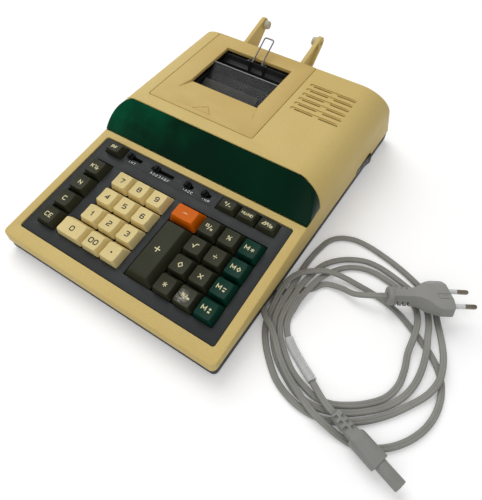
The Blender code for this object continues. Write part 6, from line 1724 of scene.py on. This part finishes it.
def make_inlet():
    """The mains inlet: rounded recess with two plated pins."""
    inlet = block("inlet_body", (0.0620, 0.2910, 0.0058), (0.0880, 0.3110, 0.0300), MACHINE)
    socket = rounded((0.0670, 0.0180), (0.0830, 0.0260), 0.00395, 8)
    cut(inlet, prism("inlet_socket", socket, -0.3200, -0.2990, MACHINE_FRONT))
    rim = rounded((0.0650, 0.0160), (0.0850, 0.0280), 0.0058, 8)
    collar = prism("inlet_collar", rim, -0.3120, -0.3105, MACHINE_FRONT)
    inner = rounded((0.0662, 0.0172), (0.0838, 0.0268), 0.0047, 8)
    cut(collar, prism("collar_bore", inner, -0.3130, -0.3107, MACHINE_FRONT))
    settle(collar)
    cut(inlet, collar)
    soften(inlet, 0.0003, 2, 40.0)
    settle(inlet)
    paint(inlet, moulded("inlet_plastic", (0.012, 0.012, 0.013), (0.020, 0.020, 0.021), 0.45))
    plated = metal("inlet_pin_brass", (0.62, 0.55, 0.38), 0.22)
    parts = [inlet]
    rod = button(0.0100, 0.0012, 0.0005)
    for x in (0.0707, 0.0793):
        pin = turned(f"inlet_pin_{x:.4f}", rod, (x, 0.2985, 0.0220), (0, 1, 0), MACHINE, 24)
        pin.data.shade_smooth()
        parts.append(paint(pin, plated))
    return place_piece(join("mains_inlet_moulded", *parts), "machine", ["mains_inlet"], "black_plastic")


def laminated(name, colour):
    """Stacked core plates with brown varnish between them."""
    made = metal(name, colour, 0.4, (60.0, 3000.0, 60.0))
    tree = made.node_tree
    shader = tree.nodes["Principled BSDF"]
    if "plates" in tree.nodes:
        return made
    base = shader.inputs["Base Color"].links[0].from_socket
    where = node(tree, "ShaderNodeTexCoord").outputs["Object"]
    plates = node(tree, "ShaderNodeTexWave", {"Vector": where, "Scale": 600.0}, bands_direction="Y")
    plates.name = "plates"
    lines = spread(tree, plates.outputs["Fac"], 0.2, 0.5)
    tree.links.new(mixed(tree, lines, rgba((0.06, 0.035, 0.015)), base), shader.inputs["Base Color"])
    return made


def circuit_board(name):
    """Green lacquer over a pattern of copper tracks."""
    made = moulded(name, (0.018, 0.10, 0.035), (0.012, 0.07, 0.025), 0.35, 1800.0, 0.00003)
    tree = made.node_tree
    shader = tree.nodes["Principled BSDF"]
    if "tracks" in tree.nodes:
        return made
    base = shader.inputs["Base Color"].links[0].from_socket
    where = node(tree, "ShaderNodeTexCoord").outputs["Object"]
    tracks = node(tree, "ShaderNodeTexBrick", {"Vector": where, "Scale": 90.0, "Mortar Size": 0.05})
    tracks.name = "tracks"
    copper = rgba((0.05, 0.22, 0.06))
    tree.links.new(mixed(tree, tracks.outputs["Fac"], base, copper), shader.inputs["Base Color"])
    return made


def finish_inside():
    """Materials of the packed pieces that stay as they are inside the case."""
    finishes = {
        "key_guide": moulded("guide_plastic", (0.012, 0.012, 0.013), (0.020, 0.020, 0.021), 0.5),
        "main_board": circuit_board("lacquered_board"),
        "mains_transformer": laminated("core_plates", (0.20, 0.20, 0.21)),
    }
    for name, finish in finishes.items():
        piece = bpy.data.objects[name]
        for slot in piece.material_slots:
            slot.material = finish
        if not piece.material_slots:
            piece.data.materials.append(finish)


# Stage
def stage_material(name, colour, lift):
    """Paper-like floor, lifted to white where it is looked at, in mirrors and through glass as well."""
    made, tree, shader, where = new_material(name)
    tone = spread(tree, clouds(tree, where, 4.0, 2.0), 0.3, 0.7)
    ray = node(tree, "ShaderNodeLightPath").outputs
    seen = combined(tree, ray["Is Camera Ray"], ray["Is Glossy Ray"], "MAXIMUM")
    seen = combined(tree, seen, ray["Is Transmission Ray"], "MAXIMUM")
    feed(tree, shader, {
        "Base Color": mixed(tree, tone, rgba(colour), rgba(colour, 0.995)),
        "Roughness": 0.95,
        "Specular IOR Level": 0.0,
        "Emission Color": (1.0, 1.0, 1.0, 1.0),
        "Emission Strength": spread(tree, seen, 0.0, 1.0, 0.0, lift),
    })
    return made


def soft_light(name, place, target, size, energy):
    """A square soft light that faces a point."""
    lamp = bpy.data.lights.new(name, "AREA")
    lamp.shape = "RECTANGLE"
    lamp.size, lamp.size_y = size
    lamp.energy = energy
    holder = bpy.data.objects.new(name, lamp)
    holder.location = place
    holder.rotation_euler = (Vector(place) - Vector(target)).to_track_quat("Z", "Y").to_euler()
    bpy.context.scene.collection.objects.link(holder)
    return holder


def place_camera(settings):
    """The camera at the photograph's viewpoint."""
    azimuth, height, roll = settings.turn, settings.tilt, settings.roll
    level = math.cos(height)
    back = Vector((math.sin(azimuth) * level, -math.cos(azimuth) * level, math.sin(height)))
    right = Vector((math.cos(azimuth), math.sin(azimuth), 0.0))
    up = back.cross(right)
    across = right * math.cos(roll) + up * math.sin(roll)
    upward = up * math.cos(roll) - right * math.sin(roll)
    lens = bpy.data.cameras.new("view")
    lens.sensor_fit = "HORIZONTAL"
    lens.sensor_width = 36.0
    lens.lens = settings.lens
    lens.clip_start = 0.01
    camera = bpy.data.objects.new("view", lens)
    turn = Matrix((across, upward, back)).transposed().to_4x4()
    camera.matrix_world = Matrix.Translation(settings.place) @ turn
    bpy.context.scene.collection.objects.link(camera)
    bpy.context.scene.camera = camera
    return camera


def make_stage(settings):
    """Pale floor, soft lights and a plain bright surround."""
    place_camera(settings)
    bm = bmesh.new()
    bmesh.ops.create_grid(bm, x_segments=2, y_segments=2, size=3.0)
    floor = shape("floor", bm, outward=False)
    for face in floor.data.polygons:
        if face.normal.z < 0.0:
            floor.data.flip_normals()
            break
    paint(floor, stage_material("pale_floor", settings.floor_colour, settings.floor_lift))
    middle = (0.0, 0.0, 0.04)
    soft_light("key_light", (-0.89, 0.49, 1.51), middle, (1.4, 1.4), settings.key_power)
    soft_light("fill_light", (0.35, -0.95, 0.85), middle, (1.0, 1.0), settings.fill_power)
    surround = bpy.data.worlds.new("surround")
    surround.use_nodes = True
    tree = surround.node_tree
    tree.nodes["Background"].inputs["Color"].default_value = (1.0, 1.0, 1.0, 1.0)
    tree.nodes["Background"].inputs["Strength"].default_value = settings.surround
    bpy.context.scene.world = surround
    view = bpy.context.scene.view_settings
    view.view_transform = "Standard"


# Settings that a user would change
def colour_choice(name, description, default):
    """A colour setting."""
    return FloatVectorProperty(name=name, description=description, default=default, subtype="COLOR", size=3,
                               min=0.0, max=1.0)


def size_choice(name, description, default):
    """A length setting in metres."""
    return FloatProperty(name=name, description=description, default=default, subtype="DISTANCE",
                         unit="LENGTH", min=0.0, precision=4)


class CaseSettings(bpy.types.PropertyGroup):
    """Colours and edges of the beige mouldings."""
    shell_colour: colour_choice("Case colour", "Colour of the case and the paper arms",
                                (0.630, 0.478, 0.175))
    shell_aged: colour_choice("Aged case colour", "Colour of the yellowed patches", (0.585, 0.430, 0.145))
    cover_colour: colour_choice("Cover colour", "Colour of the printer cover", (0.595, 0.432, 0.150))
    cover_aged: colour_choice("Aged cover colour", "Colour of the cover's yellowed patches",
                              (0.545, 0.380, 0.122))
    base_colour: colour_choice("Base colour", "Colour of the tray under the case", (0.030, 0.030, 0.030))
    edge: size_choice("Edge radius", "Radius of the case's outer edges", 0.0008)


class KeyboardSettings(bpy.types.PropertyGroup):
    """Colours of the panel, the keys and their legends."""
    panel_colour: colour_choice("Panel colour", "Colour of the plate round the keys", (0.024, 0.026, 0.027))
    panel_aged: colour_choice("Rubbed panel colour", "Colour of the panel's dusty patches",
                              (0.034, 0.036, 0.037))
    ivory: colour_choice("Figure keys", "Colour of the figure keys", (0.745, 0.605, 0.280))
    olive: colour_choice("Function keys", "Colour of the function keys", (0.034, 0.035, 0.019))
    orange: colour_choice("Minus key", "Colour of the minus key", (0.640, 0.122, 0.0005))
    green: colour_choice("Memory keys", "Colour of the memory keys", (0.002, 0.034, 0.021))
    # Painted reflection: the pale grey of the worn key's shining middle.
    shine: colour_choice("Worn shine", "Colour of the worn key's shining middle", (0.42, 0.41, 0.36))
    dark_legend: colour_choice("Dark legends", "Colour of the legends on the figure keys",
                               (0.008, 0.006, 0.004))
    pale_legend: colour_choice("Pale legends", "Colour of the legends on the other keys",
                               (0.72, 0.66, 0.38))


class WindowSettings(bpy.types.PropertyGroup):
    """Colours of the window over the display."""
    window_deep: colour_choice("Deep green", "Colour of the window", (0.0006, 0.018, 0.008))
    # The bright green is painted sheen, strongest towards the left of the window.
    window_sheen: colour_choice("Bright green", "Colour of the window's cloudy patches",
                                 (0.0, 0.078, 0.032))


class PrinterSettings(bpy.types.PropertyGroup):
    """Colours of the print unit."""
    tear_colour: colour_choice("Tear bar", "Colour of the clear tear bar", (0.018, 0.019, 0.019))


class LeadSettings(bpy.types.PropertyGroup):
    """Sizes and colours of the loose mains lead."""
    width: size_choice("Cord width", "Width of the flat two-core cord", 0.0051)
    thickness: size_choice("Cord thickness", "Thickness of the flat two-core cord", 0.0034)
    colour: colour_choice("Cord colour", "Colour of the cord's sheath", (0.285, 0.283, 0.258))
    plug_colour: colour_choice("Plug colour", "Colour of the plug and the connector", (0.285, 0.283, 0.266))


class StageSettings(bpy.types.PropertyGroup):
    """Camera, floor and lights."""
    turn: FloatProperty(name="Turn", description="Camera's angle round the object",
                        default=math.radians(31.46), subtype="ANGLE", unit="ROTATION")
    tilt: FloatProperty(name="Height angle", description="Camera's angle above the floor",
                        default=math.radians(53.65), subtype="ANGLE", unit="ROTATION")
    roll: FloatProperty(name="Roll", description="Camera's turn about its own line of sight",
                        default=math.radians(2.09), subtype="ANGLE", unit="ROTATION")
    place: FloatVectorProperty(name="Place", description="Where the camera stands",
                               default=(0.1825, -0.2549, 0.3200), subtype="TRANSLATION",
                               unit="LENGTH", size=3)
    lens: FloatProperty(name="Lens", description="Focal length in millimetres", default=33.79, min=1.0)
    floor_colour: colour_choice("Floor colour", "Colour of the floor", (0.90, 0.90, 0.90))
    key_power: FloatProperty(name="Main light", description="Power of the soft light from the left",
                             default=17.4, unit="POWER", min=0.0)
    fill_power: FloatProperty(name="Second light", description="Power of the soft light from the front",
                              default=3.0, unit="POWER", min=0.0)
    surround: FloatProperty(name="Surround", description="Brightness of the plain surround", default=0.50,
                            min=0.0)
    floor_lift: FloatProperty(name="Floor lift", description="Brightness added where the floor is looked at",
                              default=0.20, min=0.0)


SETTINGS = (
    ("machine_case", CaseSettings),
    ("machine_keyboard", KeyboardSettings),
    ("machine_window", WindowSettings),
    ("machine_printer", PrinterSettings),
    ("machine_lead", LeadSettings),
    ("machine_stage", StageSettings),
)


# Operators, one for each piece or group of like pieces
class MACHINE_OT_stage(bpy.types.Operator):
    """Place the camera, the floor, the lights and the surround"""
    bl_idname = "machine.stage"
    bl_label = "Stage"

    def execute(self, context):
        make_stage(context.scene.machine_stage)
        return {"FINISHED"}


class MACHINE_OT_lead(bpy.types.Operator):
    """Build the loose mains lead: cord, plug, connector and bare tag"""
    bl_idname = "machine.lead"
    bl_label = "Mains lead"

    def execute(self, context):
        settings = context.scene.machine_lead
        cord, line, length, exit_point = make_power_cord(settings)
        tag = make_cord_tag(line, settings)
        plug = make_plug(settings)
        connector = make_connector(settings)
        path = [tuple(point) for point in line]
        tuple(exit_point)
        return {"FINISHED"}


class MACHINE_OT_case(bpy.types.Operator):
    """Build the beige case"""
    bl_idname = "machine.case"
    bl_label = "Case"

    def execute(self, context):
        make_case(context.scene.machine_case)
        return {"FINISHED"}


class MACHINE_OT_cover(bpy.types.Operator):
    """Build the sliding printer cover"""
    bl_idname = "machine.cover"
    bl_label = "Printer cover"

    def execute(self, context):
        make_cover(context.scene.machine_case)
        return {"FINISHED"}


class MACHINE_OT_base(bpy.types.Operator):
    """Build the tray under the case, with its feet and screws"""
    bl_idname = "machine.base"
    bl_label = "Base tray"

    def execute(self, context):
        make_base(context.scene.machine_case)
        return {"FINISHED"}


class MACHINE_OT_panel(bpy.types.Operator):
    """Build the dark plate round the keys and its slide switches"""
    bl_idname = "machine.panel"
    bl_label = "Key panel and slide switches"

    def execute(self, context):
        make_panel(context.scene.machine_keyboard)
        make_switches()
        return {"FINISHED"}


class MACHINE_OT_keys(bpy.types.Operator):
    """Build every key with its legend"""
    bl_idname = "machine.keys"
    bl_label = "Keys"

    def execute(self, context):
        settings = context.scene.machine_keyboard
        finishes = {
            "ivory": key_plastic("ivory_key_plastic", settings.ivory, 0.46),
            "olive": key_plastic("olive_key_plastic", settings.olive, 0.44),
            "orange": key_plastic("orange_key_plastic", settings.orange, 0.46),
            "green": key_plastic("green_key_plastic", settings.green, 0.42),
            "worn": olive_worn_and_painted_shine(settings.olive, settings.shine),
        }
        legends = {
            "dark": moulded("dark_legend_print", settings.dark_legend, shade(settings.dark_legend, 1.5), 0.4),
            "pale": moulded("pale_legend_print", settings.pale_legend, shade(settings.pale_legend, 0.9), 0.4),
        }
        for key in key_list():
            made = make_key(key, finishes, legends)
            place_piece(made, key[0], [key[0]], KEY_FINISH_SLOTS[key[-1]])
        return {"FINISHED"}


class MACHINE_OT_window(bpy.types.Operator):
    """Build the green window over the display"""
    bl_idname = "machine.window"
    bl_label = "Display window"

    def execute(self, context):
        make_window(context.scene.machine_window)
        return {"FINISHED"}


class MACHINE_OT_printer(bpy.types.Operator):
    """Build the print unit: frame, roller, drum, tear bar and bail"""
    bl_idname = "machine.printer"
    bl_label = "Print unit"

    def execute(self, context):
        make_printer()
        make_rollers()
        make_tear_bar(context.scene.machine_printer)
        make_bail()
        return {"FINISHED"}


class MACHINE_OT_arms(bpy.types.Operator):
    """Build the two paper arms and their hubs"""
    bl_idname = "machine.arms"
    bl_label = "Paper arms"

    def execute(self, context):
        make_arms(context.scene.machine_case)
        return {"FINISHED"}


class MACHINE_OT_mains(bpy.types.Operator):
    """Build the power switch and the mains inlet"""
    bl_idname = "machine.mains"
    bl_label = "Power switch and inlet"

    def execute(self, context):
        make_rocker()
        make_inlet()
        return {"FINISHED"}


class MACHINE_OT_inside(bpy.types.Operator):
    """Give the pieces inside the case their materials"""
    bl_idname = "machine.inside"
    bl_label = "Inside pieces"

    def execute(self, context):
        finish_inside()
        return {"FINISHED"}


OPERATORS = (
    MACHINE_OT_stage,
    MACHINE_OT_lead,
    MACHINE_OT_case,
    MACHINE_OT_cover,
    MACHINE_OT_base,
    MACHINE_OT_panel,
    MACHINE_OT_keys,
    MACHINE_OT_window,
    MACHINE_OT_printer,
    MACHINE_OT_arms,
    MACHINE_OT_mains,
    MACHINE_OT_inside,
)


class MACHINE_PT_pieces(bpy.types.Panel):
    """Lists the settings and the pieces"""
    bl_idname = "MACHINE_PT_pieces"
    bl_label = "Calculating machine"
    bl_space_type = "VIEW_3D"
    bl_region_type = "UI"
    bl_category = "Machine"

    def draw(self, context):
        layout = self.layout
        for attribute, group in SETTINGS:
            box = layout.box()
            box.label(text=group.__doc__)
            settings = getattr(context.scene, attribute)
            for name in group.__annotations__:
                box.prop(settings, name)
        for operator in OPERATORS:
            layout.operator(operator.bl_idname)


def register():
    """Register the settings, the operators and the panel."""
    for attribute, group in SETTINGS:
        bpy.utils.register_class(group)
        setattr(bpy.types.Scene, attribute, PointerProperty(type=group))
    for operator in OPERATORS:
        bpy.utils.register_class(operator)
    bpy.utils.register_class(MACHINE_PT_pieces)


def unregister():
    """Take them all away again."""
    bpy.utils.unregister_class(MACHINE_PT_pieces)
    for operator in reversed(OPERATORS):
        bpy.utils.unregister_class(operator)
    for attribute, group in reversed(SETTINGS):
        delattr(bpy.types.Scene, attribute)
        bpy.utils.unregister_class(group)


def main():
    """Build every piece in order."""
    register()
    for operator in OPERATORS:
        group, name = operator.bl_idname.split(".")
        getattr(getattr(bpy.ops, group), name)()


if __name__ == "__main__":
    main()
